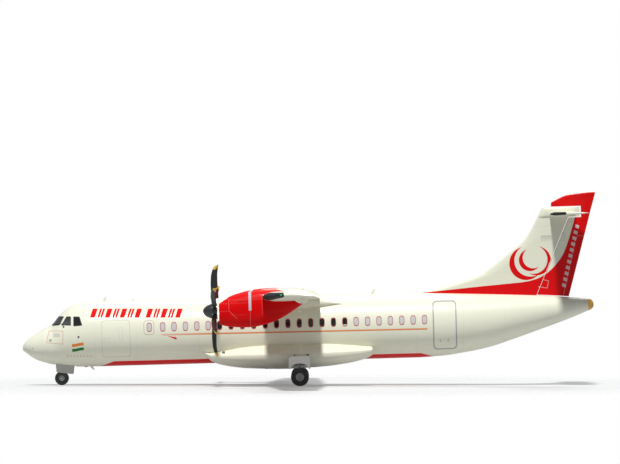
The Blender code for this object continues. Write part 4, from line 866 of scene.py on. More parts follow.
# Plain finishes: name, dark, light, scale of the smears, roughness and its spread, metallic, grain, coat
PLAIN = {
    "frame_red": ("window_frame_red", (0.42, 0.10, 0.08), (0.52, 0.15, 0.12), 5.0, 0.35, 0.1),
    "seal": ("black_seal", (0.010, 0.010, 0.011), (0.028, 0.028, 0.030), 5.0, 0.45, 0.15),
    # painted light: the main gear doors get a paler white than the airframe's, as if lit, though they stand
    # in the wing's shadow
    "bright": ("gear_door_white", (0.86, 0.86, 0.80), (0.93, 0.93, 0.87), 3.0, 0.4, 0.15),
    "door": ("nose_door_grey", (0.42, 0.42, 0.38), (0.52, 0.52, 0.47), 3.0, 0.4, 0.15),
    "light_port": ("green_lens", (0.01, 0.42, 0.10), (0.02, 0.55, 0.16), 6.0, 0.08, 0.08),
    "light_starboard": ("red_lens", (0.50, 0.01, 0.01), (0.62, 0.02, 0.02), 6.0, 0.08, 0.08),
    "cabin": ("cabin_lining", (0.40, 0.39, 0.37), (0.52, 0.51, 0.48), 2.0, 0.55, 0.2),
    "bay": ("wheel_bay_primer", (0.035, 0.037, 0.035), (0.07, 0.072, 0.066), 2.0, 0.6, 0.2),
    "amber": ("amber_lens", (0.72, 0.36, 0.05), (0.80, 0.44, 0.09), 4.0, 0.15, 0.1, 0.0, 0.1, 0.5),
    "alloy": ("wheel_alloy", (0.42, 0.42, 0.43), (0.62, 0.62, 0.63), 9.0, 0.28, 0.2, 0.85),
    "steel": ("gear_steel", (0.22, 0.22, 0.225), (0.40, 0.40, 0.41), 8.0, 0.40, 0.25, 0.3),
    "chrome": ("strut_chrome", (0.55, 0.55, 0.56), (0.70, 0.70, 0.71), 8.0, 0.08, 0.1, 1.0, 0.03),
    "exhaust": ("exhaust_heat_metal", (0.16, 0.12, 0.09), (0.34, 0.30, 0.27), 6.0, 0.35, 0.3, 0.9),
    "grey_trim": ("grey_trim", (0.20, 0.20, 0.21), (0.34, 0.34, 0.35), 6.0, 0.4, 0.2, 0.2),
}


# Forms of the wings and tail

def airfoil(share, thickness, camber):
    """Four-digit section: upper and lower heights as chord shares, with a thin square trailing edge."""
    half = 5.0 * thickness * (0.2969 * np.sqrt(share) - 0.1260 * share - 0.3516 * share ** 2
                              + 0.2843 * share ** 3 - 0.1015 * share ** 4)
    line = camber * 4.0 * share * (1.0 - share)
    return line + half + 0.0025 * share, line - half - 0.0025 * share


class Section:
    """One airfoil section: leading edge, chord, thickness, incidence and camber."""

    def __init__(self, origin, chord, thickness, incidence=0.0, camber=0.0):
        self.origin = np.asarray(origin, float)
        self.chord, self.thickness, self.incidence, self.camber = chord, thickness, incidence, camber

    def at(self, along, off):
        """Points at shares of the chord along and off the chord line."""
        c, s = self.chord * math.cos(self.incidence), self.chord * math.sin(self.incidence)
        return self.origin + stack(along * c + off * s, 0.0, off * c - along * s)

    def sides(self, share):
        return airfoil(share, self.thickness, self.camber)

    def ring(self, count=40):
        """Over the top to the nose and back below, from the trailing edge, in cosine spacing."""
        share = (1 - np.cos(math.pi * np.arange(count + 1) / count)) / 2
        upper, lower = self.sides(share)
        return np.concatenate((self.at(share[::-1], upper[::-1]), self.at(share[1:], lower[1:])))

    def hinge(self, share):
        """The hinge's centre and the nose radius, as a point, a share and a length."""
        upper, lower = self.sides(share)
        return self.at(share, (upper + lower) / 2), (upper + lower) / 2, (upper - lower) / 2

    def tail_ring(self, share, steps=16, count=10):
        """The hinged part aft of a share: half a circle for its nose, then the section's own sides."""
        _, middle, radius = self.hinge(share)
        angle = math.pi / 2 + math.pi * np.arange(steps + 1) / steps
        aft = np.linspace(share, 1.0, count + 1)[1:]
        upper, lower = self.sides(aft)
        return np.concatenate((self.at(share + radius * np.cos(angle), middle + radius * np.sin(angle)),
                               self.at(aft, lower), self.at(aft[::-1], upper[::-1])))


def wing_section(y):
    past = max(0.0, abs(y) - KINK_Y)
    t = past / (HALF_SPAN - KINK_Y)
    origin = mixed(*WING_LEAD, t), y, WING_W + past * math.tan(DIHEDRAL)
    return Section(origin, mixed(2.57, 1.59, t), mixed(0.17, 0.13, t), math.radians(3.0), 0.02)


def wing_tip(side, length=0.30):
    """Sections of the round tip, which shrink along a table of (share of the tip, scale)."""
    table = np.array(((0.0, 1.0), (0.5, 0.93), (0.85, 0.78), (1.0, 0.55)))
    for share in (0.0, 0.2, 0.4, 0.55, 0.7, 0.8, 0.88, 0.94, 0.98, 1.0):
        scale = float(read_table(table, 1, share))
        section = wing_section(side * (HALF_SPAN - length + length * share))
        section.origin = section.origin + np.array((section.chord * (1 - scale) * 0.55, 0.0, -0.02 * share))
        section.chord *= scale
        section.thickness *= scale
        yield section


def tailplane_section(y):
    t = abs(y) / TAILPLANE_HALF_SPAN
    return Section((mixed(*TAILPLANE_LEAD, t), y, TAILPLANE_W - 0.03), mixed(1.85, 1.24, t), 0.10)


def tailplane_tip(side, length=0.12):
    """Sections of the round tip, drawn in along a quarter of a circle."""
    for share in (0.0, 0.3, 0.55, 0.75, 0.9, 1.0):
        ease = 1.0 - math.sqrt(max(0.0, 1.0 - share * share))
        section = tailplane_section(side * (TAILPLANE_HALF_SPAN - length + length * share))
        section.origin = section.origin + np.array((0.16 * ease, 0.0, 0.0))
        section.chord -= 0.20 * ease
        section.thickness *= 1.0 - 0.4 * ease
        yield section


def rings_of(sections):
    return [section.ring() for section in sections]


def notch(section_at, side, y0, y1, share, ahead=0.008, length=4.0, half=0.6):
    """The space that a hinged part takes in the fixed surface: a box from just ahead of its nose."""
    rings = []
    for y in (side * y0, side * y1):
        section = section_at(y)
        (front, _, z), _, radius = section.hinge(share)
        x0, z0, z1 = front - radius * section.chord - ahead, z - half, z + half
        x1 = x0 + length
        rings.append([(x0, y, z0), (x1, y, z0), (x1, y, z1), (x0, y, z1)])
    return Shape(np.array(rings, float)).mesh()


def hinged_part(section_at, side, y0, y1, share, finish):
    """The part aft of a hinge, from five sections, with a gap at both ends."""
    ys = np.linspace(y0 + END_GAP, y1 - END_GAP, 5)
    return Shape(np.array([section_at(side * y).tail_ring(share) for y in ys])).mesh(finish)


def slice_of(x, y, z):
    """A closed slice from its starboard half: front to back on one side and back on the other."""
    return stack(np.concatenate((x, x[:0:-1])), np.concatenate((y, -y[:0:-1])), z)


def tapered_slice(lead, trail, half, table, z, t):
    """A slice whose half thickness follows a table against the root of its distance from the front."""
    roots = np.array(table)
    roots[:, 0] = np.sqrt(roots[:, 0])
    return slice_of(lead + (trail - lead) * t ** 2, half * read_table(roots, 1, t), z)


# The stages that build the pieces

class AIRLINER_OT_fuselage(bpy.types.Operator):
    """Builds the fuselage's skin from nose to tail, with its door recesses and nose bay"""
    bl_idname = "airliner.fuselage"
    bl_label = "Fuselage skin"

    def execute(self, context):
        x = np.concatenate((np.arange(-12.86, -9.6, 0.045), np.arange(-9.6, 4.9, 0.29),
                            np.arange(4.9, TAIL_X, 0.13), (TAIL_X,)))
        body = oval(x, *stations(FUSELAGE, x), sides=SKIN_SIDES)
        mesh = Shape(np.concatenate((self.nose_tip(), body))).mesh("fuselage")
        recesses = [Shape(skin_plate(opening_on_skin(opening), plate_profile(0.06, -depth, 10))).mesh("cabin")
                    for opening, depth in ((STAIR_DOOR, STAIR_RECESS), (CARGO_DOOR, CARGO_RECESS))]
        x0, x1, half, roof = NOSE_BAY
        bay = box((x0, -half, -1.8), (x1, half, roof), "bay")
        set_piece("fuselage_skin", carve(mesh, *recesses, bay), "white_paint", "fuselage", "radome")
        step = np.linspace(0.0, math.pi / 2, 14)
        dome = oval(TAIL_X + (TAIL_END - TAIL_X) * np.sin(step), 0.72 + 0.27 * np.cos(step),
                    0.72 - 0.27 * np.cos(step), 0.265 * np.cos(step), sides=64)
        set_piece("tail_light_dome", Shape(dome).mesh("amber"), "amber_lens", "tail_light")
        return {"FINISHED"}

    def nose_tip(self):
        """Rings that open from the tip as powers of s, blended into the ring of the first station."""
        x0, crown, keel, half = FUSELAGE[0]
        s = np.linspace(0.0, 1.0, 9)[:, None] ** 2
        angle = turn_angles(SKIN_SIDES)[None, :]
        above = np.sin(angle) >= 0
        up = np.where(above, crown - NOSE_Z, NOSE_Z - keel) * np.where(above, s ** 0.40, s ** 0.33)
        tip = stack(mixed(NOSE_TIP, x0, s), half * np.cos(angle) * s ** 0.40, NOSE_Z + up * np.sin(angle))
        join = oval(x0, crown, keel, half, sides=SKIN_SIDES)
        tip[..., 1:] += (join[..., 1:] - tip[-1:, :, 1:]) * s[..., None]
        return tip


class AIRLINER_OT_doors(bpy.types.Operator):
    """Builds the entry door with its steps, the cargo door, the service door and the exit hatches"""
    bl_idname = "airliner.doors"
    bl_label = "Doors"

    def execute(self, context):
        stair, cargo = (opening_on_skin(opening, DOOR_GAP) for opening in (STAIR_DOOR, CARGO_DOOR))
        shape = Shape(skin_plate(stair, plate_profile(0.0, -0.06, 14)), *self.steps())
        set_piece("entry_door", shape.mesh("fuselage"), "white_paint", "stair_door", body="stair_door")
        shape = Shape(skin_plate(cargo, plate_profile(0.0, -0.035, 14)))
        set_piece("cargo_door_panel", shape.mesh("fuselage"), "white_paint", "cargo_door", body="cargo_door")
        for opening, name, finish in ((STAIR_DOOR, "entry", "grey_trim"), (CARGO_DOOR, "cargo", "door")):
            ring = [(0.0, -0.004), (1.0, -0.004), (1.0, -0.02), (0.0, -0.02), (0.0, -0.004)]
            seal = skin_plate(opening_on_skin(opening, -0.0004), ring, -1,
                              opening_on_skin(opening, DOOR_GAP - 0.0015))
            set_piece(name + "_door_seal", Shape(seal).mesh(finish), "rubber")
        service = skin_plate(opening_on_skin(SERVICE_DOOR), plate_profile(0.002, -0.02, 12), 1)
        set_piece("service_door_panel", Shape(service).mesh("fuselage"), "white_paint", "service_door")
        hatch = oblong(HATCH, count=64)
        face = [(0.0, -0.01), *((s, 0.0015) for s in np.linspace(0.0, 1.0, 7)), (1.0, -0.01)]
        for side, word in SIDES:
            plate = skin_plate(on_skin(hatch), face, side, self.pane_hole(hatch))
            shape = Shape()
            shape.add(np.concatenate((plate, plate[:1])), caps=False)
            set_piece("exit_hatch_panel_" + word, shape.mesh("fuselage"), "white_paint", "exit_hatch_" + word)
        return {"FINISHED"}

    def steps(self, inset=0.18, grip_inset=0.14):
        """Five steps on the inner face of the entry door, and a grip bar at each edge."""
        u0, u1, w0, w1, _ = STAIR_DOOR
        for number in range(5):
            w = mixed(w0, w1, (number + 1.0) / 6.2)
            y = 0.04 - skin_y(u1 - inset, w)
            yield block((u0 + inset, y, w - 0.02), (u1 - inset, y + 0.22, w + 0.02), sides=32)
        for u in (u0 + grip_inset, u1 - grip_inset):
            foot, head = ((u, 0.20 - skin_y(u, w), w) for w in (w0 + 0.35, w1 - 0.40))
            yield bar(foot, head, 0.014)

    def pane_hole(self, hatch):
        """The window's outline on the skin, whose first point lies towards the hatch's first point."""
        hole = window_outline(WINDOW_FIRST, 0.9, len(hatch))
        towards = unit(hole - hole.mean(axis=0)) @ unit(hatch[0] - hatch.mean(axis=0))
        return on_skin(np.roll(hole, -int(np.argmax(towards)), axis=0))


def window_outline(u, scale=1.0, count=32):
    """A superellipse of a cabin window's size: u + a * |cos| ** (2/p), w + b * |sin| ** (2/p), p = 3."""
    across, up = squarish(turn_angles(count), 0.6667)
    a, b = sizes().window_width / 2 * scale, sizes().window_height / 2 * scale
    return np.stack((u + a * across, WINDOW_W + b * up), axis=-1)


class AIRLINER_OT_windows(bpy.types.Operator):
    """Sets the cabin windows, each a pane sunk in a thin raised frame"""
    bl_idname = "airliner.windows"
    bl_label = "Cabin windows"

    def execute(self, context):
        pane = [(0.0, 0.0022), (0.5, 0.0022), (0.90, 0.0022), (0.90, -0.004), (0.0, -0.004)]
        rim = [(0.86, -0.003), (0.86, 0.0030), (0.93, 0.0065), (1.02, 0.0065), (1.08, 0.001),
               (1.08, -0.003), (0.86, -0.003)]
        for side, word in SIDES:
            panes, rims = Shape(), Shape()
            for u in WINDOWS:
                outline = on_skin(window_outline(u))
                panes.add(skin_plate(outline, pane, side))
                rims.add(skin_plate(outline, rim, side), caps=False)
            set_piece("cabin_panes_" + word, panes.mesh("pane"), "dark_glass")
            set_piece("cabin_window_frames_" + word, rims.mesh("frame_red"), "red_paint")
        return {"FINISHED"}


class AIRLINER_OT_flight_deck(bpy.types.Operator):
    """Glazes the flight deck with three framed panes a side"""
    bl_idname = "airliner.flight_deck"
    bl_label = "Flight-deck glass"

    PANES = (((-11.610, 0.436), (-11.225, 0.452), (-11.010, 0.842), (-11.265, 0.846)),
             ((-11.135, 0.452), (-10.695, 0.428), (-10.690, 0.830), (-10.895, 0.838)),
             ((-10.580, 0.391), (-10.180, 0.415), (-10.295, 0.818), (-10.580, 0.826)))

    def execute(self, context):
        rim = [(0.84, -0.008), (0.84, 0.006), (0.92, 0.008), (1.02, 0.002), (1.02, -0.008), (0.84, -0.008)]
        panes, rims = Shape(), Shape()
        for side, _ in SIDES:
            for corners in self.PANES:
                outline = on_skin(eased(corners, 0.035, 64))
                panes.add(skin_plate(outline, plate_profile(0.004, -0.01, 10), side))
                rims.add(skin_plate(outline, rim, side))
        set_piece("flight_deck_panes", panes.mesh("deck_pane"), "dark_glass", "flight_deck_glazing")
        set_piece("flight_deck_frames", rims.mesh("seal"), "rubber")
        return {"FINISHED"}


class AIRLINER_OT_fairings(bpy.types.Operator):
    """Builds the wing's root fairing and the main gear's belly fairing"""
    bl_idname = "airliner.fairings"
    bl_label = "Fairings"

    def execute(self, context):
        wing = Shape(table_body(WING_FAIRING, 60, upper=2.6, lower=2.2)).mesh("white")
        set_piece("wing_root_fairing", wing, "white_paint", "wing_fairing")
        belly = Shape(table_body(GEAR_FAIRING, 110, upper=1.55, lower=2.7, sides=120)).mesh("white")
        x0, x1, y0, y1, roof = WHEEL_WELL
        wells = [box((x0, low, -2.2), (x1, high, roof), "bay") for low, high in ((-y1, -y0), (y0, y1))]
        set_piece("gear_belly_fairing", carve(belly, *wells), "white_paint", "gear_fairing")
        return {"FINISHED"}


class AIRLINER_OT_nacelles(bpy.types.Operator):
    """Builds the engine cowlings with their chin inlets and exhaust stubs"""
    bl_idname = "airliner.nacelles"
    bl_label = "Nacelles"

    # the chin inlet's station, half width and half height
    MOUTH = ((-4.10, 0.24, 0.085), (-3.9, 0.23, 0.08), (-3.65, 0.21, 0.072), (-3.35, 0.18, 0.06))
    MOUTH_Z, PIPE_RADIUS, PIPE_WALL = 0.50, 0.13, 0.025

    def execute(self, context):
        x = np.concatenate(((-3.94, -3.94, -3.935, -3.92), np.linspace(-3.89, -0.14, 70), (-0.13, -0.12)))
        pull = np.concatenate(((0.0, 0.90, 0.96, 0.99), np.ones(70), (0.9, 0.0)))
        top, bottom, width = stations(NACELLE, x)
        middle, half = (top + bottom) / 2, (top - bottom) / 2 * pull
        angle = turn_angles(48)[None, :]
        mouth_x, wide, high = (column[:, None] for column in np.array(self.MOUTH).T)
        for side, word in SIDES:
            y = side * ENGINE_Y
            rings = oval(x, middle + half, middle - half, width * pull, y, 2.3, 2.5, 112)
            mouth = stack(mouth_x, y + wide * np.cos(angle), self.MOUTH_Z + high * np.sin(angle))
            cowl = carve(Shape(rings).mesh("nacelle"), Shape(mouth).mesh("grey_trim"))
            set_piece("cowling_" + word, cowl, "red_paint", "nacelle_" + word)
            set_piece("exhaust_pipe_" + word, Shape(self.pipe(side)).mesh("exhaust"), "grey_metal",
                      "exhaust_" + word)
        return {"FINISHED"}

    def pipe(self, side):
        """A stub that leans out and aft, hollow from its end to a little under half its length."""
        run = np.array((0.52, -side * 0.20, -0.02))
        length = float(np.linalg.norm(run))
        outer, inner = self.PIPE_RADIUS, self.PIPE_RADIUS - self.PIPE_WALL
        profile = ((0.0, 0.0), (0.0, outer), (length - 0.01, outer), (length, outer - 0.004),
                   (length, inner + 0.003), (length - 0.01, inner), (length * 0.45, inner),
                   (length * 0.45, 0.0))
        return lathe(profile, (-2.60, side * (ENGINE_Y - 0.46), 1.14), run, 48)


class AIRLINER_OT_propellers(bpy.types.Operator):
    """Builds the six-bladed propellers and their spinners"""
    bl_idname = "airliner.propellers"
    bl_label = "Propellers"

    # the hub's outline, as (distance along the shaft, radius)
    HUB = ((0.0, 0.0), (0.0, 0.18), (0.03, 0.26), (0.17, 0.26), (0.185, 0.3096), (0.205, 0.3096),
           (0.205, 0.0))

    def execute(self, context):
        share = np.linspace(0.0, 1.0, 28) ** 1.6
        cowl = [(-0.52 + 0.645 * s, 0.36 * math.sqrt(max(0.0, 1.0 - (1.0 - s) ** 1.9))) for s in share]
        cowl += [(0.125, 0.31), (-0.05, 0.31), (-0.10, 0.29), (-0.25, 0.20), (-0.25, 0.0)]
        for side, word in SIDES:
            centre = np.array((PROP_X, side * ENGINE_Y, THRUST_Z))
            shape = Shape(lathe(self.HUB, centre - (0.085, 0.0, 0.0), (1, 0, 0)),
                          *self.around(self.blade(side), centre))
            set_piece("propeller_blades_" + word, shape.mesh("blade"), "blade_black", "propeller_" + word,
                      body="prop_" + word, sharp=50.0)
            spinner = Shape(lathe(cowl, centre, (1, 0, 0), 128)).mesh("spinner")
            slots = Shape(*self.around(self.root_slot(), centre)).mesh("spinner")
            set_piece("spinner_cowl_" + word, carve(spinner, slots), "blade_black", "spinner_" + word,
                      body="prop_" + word)
        return {"FINISHED"}

    def around(self, points, centre):
        """The same points at each blade's angle about the shaft."""
        x, y, z = (points[..., axis] for axis in range(3))
        for angle in turn_angles(BLADES):
            c, s = math.cos(angle), math.sin(angle)
            yield stack(x, y * c - z * s, y * s + z * c) + centre

    def blade(self, hand):
        """A lens section, chord * cos along and thickness * sin off it, twisted and swept with the radius."""
        radius = np.array((*np.linspace(0.20, 1.95, 44), 1.98, 2.01, 2.03, 2.043, PROP_RADIUS))[:, None]
        chord, thick, beta, sweep = (read_table(BLADE_SECTIONS, column, radius) for column in (1, 2, 3, 4))
        near = np.clip((radius - 1.88) / (PROP_RADIUS - 1.88), 0.0, 1.0)
        beta = np.radians(beta)
        around = turn_angles(28)[None, :]
        a = chord * np.sqrt(1.0 - 0.93 * near ** 3) / 2 * np.cos(around)
        b = thick / 2 * np.sin(around) * (1.0 - 0.35 * np.cos(around))
        return stack(a * np.sin(beta) - b * np.cos(beta) + sweep + 0.02 * near ** 2,
                     hand * (a * np.cos(beta) + b * np.sin(beta)), radius)

    def root_slot(self, ahead=0.008, along=0.100, across=0.072):
        """The oval hole of a blade's root in the spinner."""
        angle = turn_angles(32)[None, :]
        return stack(along * np.cos(angle) - ahead, across * np.sin(angle), np.array((0.20, 0.60))[:, None])


def axle_height(wheel):
    """The height of an axle in the aircraft's axes, for a wheel that stands on the ground."""
    return (round_radius(wheel) - HEIGHT - wheel.x * SIN) / COS


def round_radius(wheel):
    """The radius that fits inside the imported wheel's flats."""
    return wheel.radius * math.cos(math.pi / CAD_WHEEL_SIDES)


class AIRLINER_OT_wheels(bpy.types.Operator):
    """Builds the tyres with their grooves and the dished rims"""
    bl_idname = "airliner.wheels"
    bl_label = "Wheels"

    # each point's distance out as a share of the half width, then its place between the bead and the tread
    # for the tyre's wall, or its share of the rim's radius for the faces
    WALL = ((-0.735, 0.0), (-0.735, -0.15), (-0.79, -0.16), (-0.85, 0.06), (-0.97, 0.32), (-1.0, 0.50),
            (-0.97, 0.68), (-0.88, 0.84), (-0.74, 0.93), (-0.62, 0.965))
    FACE = ((0.70, 0.215), (0.72, 0.30), (0.62, 0.36), (0.50, 0.46), (0.30, 0.56), (0.26, 0.84), (0.44, 0.90),
            (0.66, 0.94), (0.72, 1.0))
    BACK = ((-0.72, 1.0), (-0.66, 0.94), (-0.40, 0.88), (-0.30, 0.80), (-0.50, 0.45), (-0.62, 0.40),
            (-0.70, 0.30), (-0.70, 0.215))
    BORE, NUTS = 0.0459, 9

    def execute(self, context):
        for side, word in SIDES:
            for twin, name in ((1, "outer"), (-1, "inner")):
                self.wheel("main_%s_%s" % (word, name), "wheels_main_" + word, MAIN_WHEEL, side * twin,
                           side * (MAIN_WHEEL.y + twin * MAIN_WHEEL.apart))
            self.wheel("nose_" + word, "wheels_nose", NOSE_WHEEL, side, side * NOSE_WHEEL.apart)
        return {"FINISHED"}

    def wheel(self, label, body, wheel, out, y):
        """A tyre and a rim, turned about the level axle; out says where the outer face looks."""
        centre = np.array(STANCE @ Vector((wheel.x, y, axle_height(wheel))))
        tyre = Shape(lathe(self.tyre(wheel), centre, sides=144))
        set_piece("wheel_tyre_" + label, tyre.mesh("tyre"), "rubber", "tyre_" + label, body=body,
                  place=Matrix.Identity(4), sharp=40.0)
        rim = Shape(lathe(self.rim(wheel, out), centre))
        for angle in turn_angles(self.NUTS):
            spot = centre + (wheel.rim * 0.70 * math.cos(angle), out * wheel.width * 0.26,
                             wheel.rim * 0.70 * math.sin(angle))
            rim.add(bar(spot, spot + (0.0, out * wheel.width * 0.10, 0.0), wheel.rim * 0.045, 12))
        set_piece("wheel_rim_" + label, rim.mesh("alloy"), "grey_metal", "rim_" + label, body=body,
                  place=Matrix.Identity(4), sharp=30.0)

    def tyre(self, wheel):
        """Bulging walls and a flat tread with square grooves, as a path that closes on the bead."""
        bead = wheel.rim + 0.0004
        tread = []
        for at in np.linspace(-0.45, 0.45, sizes().tread_grooves):
            crown = 0.985 + 0.015 * (1 - at * at * 4)
            tread += [(at - 0.045, crown), (at - 0.035, crown - 0.05), (at + 0.035, crown - 0.05),
                      (at + 0.045, crown)]
        path = [*self.WALL, *tread, *((-a, r) for a, r in reversed(self.WALL)), self.WALL[0]]
        top = max(r for _, r in path)
        depth = round_radius(wheel) - bead
        return [(a * wheel.width / 2, bead + depth * min(r / top, 1.0)) for a, r in path]

    def rim(self, wheel, out):
        """A dished disc and a stepped rim, as a path that closes on the bore."""
        bore = self.BORE / wheel.rim
        face, back = ((self.FACE[0][0], bore), (self.BACK[-1][0], bore))
        path = [face, *self.FACE, *self.BACK, back, face]
        return [(out * a * wheel.width / 2, max(r, bore) * wheel.rim) for a, r in path]


class AIRLINER_OT_landing_gear(bpy.types.Operator):
    """Builds the legs, braces, brakes, torque links and gear doors"""
    bl_idname = "airliner.landing_gear"
    bl_label = "Landing gear"

    # the main leg's block, the rods to its door, and the pin at which its torque links fold
    LEG_FOOT, LEG_TOP, ROD_W, ROD_END, FOLD_BACK, FOLD_W = -1.62, -1.236, -1.36, 2.312, 0.215, -1.80
    # inner and outer face of each door, and the brake pipes' radius
    MAIN_DOOR, NOSE_DOOR, PIPE_RADIUS = (2.302, 2.333), (0.375, 0.405), 0.009
    # turned profiles, as (distance along, radius)
    SHOULDER = ((0.0, 0.0), (0.0, 0.10), (0.03, 0.105), (0.06, 0.09), (0.30, 0.088), (0.32, 0.072),
                (0.33, 0.0))
    BRAKE = ((0.058, 0.05), (0.060, 0.145), (0.068, 0.155), (0.098, 0.155), (0.108, 0.145), (0.110, 0.05),
             (0.058, 0.05))
    SLEEVE = ((0.0, 0.0518), (0.0, 0.078), (0.02, 0.084), (0.10, 0.084), (0.12, 0.074), (0.30, 0.074),
              (0.32, 0.084), (0.4796, 0.084), (0.4796, 0.0518), (0.0, 0.0518))
    FORK = ((0.0, 0.0), (0.0, 0.045), (0.01, 0.05), (0.13, 0.055), (0.16, 0.048), (0.20, 0.048),
            (0.21, 0.070), (0.27, 0.070), (0.28, 0.05), (0.59, 0.05), (0.59, 0.0))

    def execute(self, context):
        for side, word in SIDES:
            self.main_leg(side, word)
            self.door_hinges(side, word)
            self.piston(side, word)
            self.main_door(side, word)
        self.nose_leg()
        self.nose_doors()
        return {"FINISHED"}

    def axle(self, wheel, y, radius):
        """The pin through a pair of wheels."""
        reach, w = wheel.apart + wheel.width * 0.42, axle_height(wheel)
        return bar((wheel.x, y - reach, w), (wheel.x, y + reach, w), radius)

    def torque_links(self, y, path, twin, wide, narrow, radius, sides):
        """One side of a pair of links that fold about their middle, at (station, height) points."""
        for (x0, w0), (x1, w1) in zip(path, path[1:]):
            yield bar((x0, y + twin * wide, w0), (x1, y + twin * narrow, w1), radius, sides)

    def main_leg(self, side, word):
        """Shoulder, sleeve, axle block, axle, braces, the door's rods, brakes with pipes, torque links."""
        x, y, w = MAIN_WHEEL.x, side * MAIN_WHEEL.y, axle_height(MAIN_WHEEL)
        fold_x, fold_w = x + self.FOLD_BACK, self.FOLD_W
        leg = Shape(block((x - 0.20, y - 0.125, self.LEG_FOOT), (x + 0.20, y + 0.125, self.LEG_TOP), 5.0),
                    lathe(self.SHOULDER, (x - 0.03, y, -1.50), (0.02, 0.0, -1.0), 40),
                    block((x - 0.10, y - 0.056, w - 0.085), (x + 0.10, y + 0.056, w + 0.10), 4.0),
                    self.axle(MAIN_WHEEL, y, MAIN_WHEEL.rim * 0.205),
                    bar((x, side * 1.68, -1.20), (x, y - side * 0.04, -1.58), 0.045),
                    bar((x - 0.14, side * 1.70, -1.24), (x - 0.10, y - side * 0.06, -1.50), 0.022, 16))
        for back, radius in ((-0.05, 0.026), (0.06, 0.022)):
            leg.add(bar((x + back, y, self.ROD_W), (x + back, side * self.ROD_END, self.ROD_W), radius, 16))
        for twin in (-1, 1):
            pipe = ((0.12, 0.03, -1.52), (0.17, 0.06, -1.72), (0.12, 0.08, w + 0.20), (0.05, 0.085, w + 0.12))
            leg.add(lathe(self.BRAKE, (x, y, w), (0, twin, 0), 64))
            leg.add(tube([(x + back, y + twin * off, height) for back, off, height in pipe],
                         self.PIPE_RADIUS))
            links = ((x + 0.09, -1.56), (fold_x, fold_w), (x + 0.08, w + 0.05))
            for link in self.torque_links(y, links, twin, 0.042, 0.012, 0.018, 16):
                leg.add(link)
        leg.add(bar((fold_x, y - 0.04, fold_w), (fold_x, y + 0.04, fold_w), 0.024, 20))
        set_piece("main_gear_leg_" + word, leg.mesh("steel"), "gear_steel", "main_leg_" + word)

    def door_hinges(self, side, word):
        """Two dark blocks at the well's roof, each with its own stations and height."""
        y = side * MAIN_WHEEL.y
        hinges = Shape(*(block((x0, y - side * 0.06, -1.215), (x1, y + side * 0.02, roof))
                         for x0, x1, roof in ((-0.65, -0.59, -1.165), (-0.07, 0.04, -1.155))))
        set_piece("main_gear_door_hinges_" + word, hinges.mesh("seal"), "rubber")

    def piston(self, side, word):
        """The bright rod between the sleeve and the axle block."""
        x, y, w = MAIN_WHEEL.x, side * MAIN_WHEEL.y, axle_height(MAIN_WHEEL)
        piston = Shape(bar((x - 0.03, y, -1.78), (x, y, w + 0.05), 0.056, 40, 0.05))
        set_piece("main_gear_piston_" + word, piston.mesh("chrome"), "gear_steel")

    def main_door(self, side, word):
        """A door whose lower edge is arched over the wheel, in a paler white that is painted light on a door
        in the wing's shadow.
        """
        arch = [(MAIN_WHEEL.x + 0.40 * math.cos(a), -1.80 + 0.25 * math.sin(a))
                for a in np.linspace(0.0, math.pi, 11)]
        corners = ((-0.895, -1.79), (-0.885, -1.31), (-0.82, -1.225), (0.075, -1.225), (0.08, -1.82), *arch)
        door = slab(eased(corners, 0.014, 220), *(side * face for face in self.MAIN_DOOR))
        set_piece("main_gear_door_" + word, Shape(door).mesh("bright"), "white_paint", "main_door_" + word)

    def nose_leg(self):
        """The sleeve with its brace, lamp and cross bar, and the fork that steers in it."""
        x, w = NOSE_WHEEL.x, axle_height(NOSE_WHEEL)
        sleeve = Shape(lathe(self.SLEEVE, (x, 0.0, -1.60), (0, 0, 1), 48),
                       bar((x + 0.05, 0.0, -1.50), (NOSE_BAY[1] - 0.10, 0.0, NOSE_BAY[3] - 0.03), 0.032),
                       bar((x - 0.13, -0.05, -1.42), (x - 0.07, -0.05, -1.42), 0.045, 32),
                       bar((x, -0.16, -1.46), (x, 0.16, -1.46), 0.022, 20))
        set_piece("nose_gear_sleeve", sleeve.mesh("steel"), "gear_steel", "nose_leg")
        fork = Shape(lathe(self.FORK, (x, 0.0, w - 0.065), (0, 0, 1), 48), self.axle(NOSE_WHEEL, 0.0, 0.0445))
        for twin in (-1, 1):
            links = ((x + 0.06, w + 0.17), (x + 0.145, w + 0.09), (x + 0.045, w + 0.01))
            for link in self.torque_links(0.0, links, twin, 0.022, 0.010, 0.011, 14):
                fork.add(link)
        set_piece("nose_gear_fork", fork.mesh("chrome"), "gear_steel", "nose_fork", body="nose_steering")

    def nose_doors(self):
        """Two doors whose tops are cut away by the fuselage's own form."""
        corners = ((-11.47, -1.20), (-11.43, -1.685), (-10.69, -1.79), (-10.60, -1.20))
        x = np.linspace(-12.3, -9.8, 60)
        body = Shape(oval(x, *stations(FUSELAGE, x, 0.0006), sides=128)).mesh("door")
        for side, word in SIDES:
            door = Shape(slab(eased(corners, 0.02, 120), *(side * face for face in self.NOSE_DOOR)))
            set_piece("nose_gear_door_" + word, carve(door.mesh("door"), body), "white_paint",
                      "nose_door_" + word)


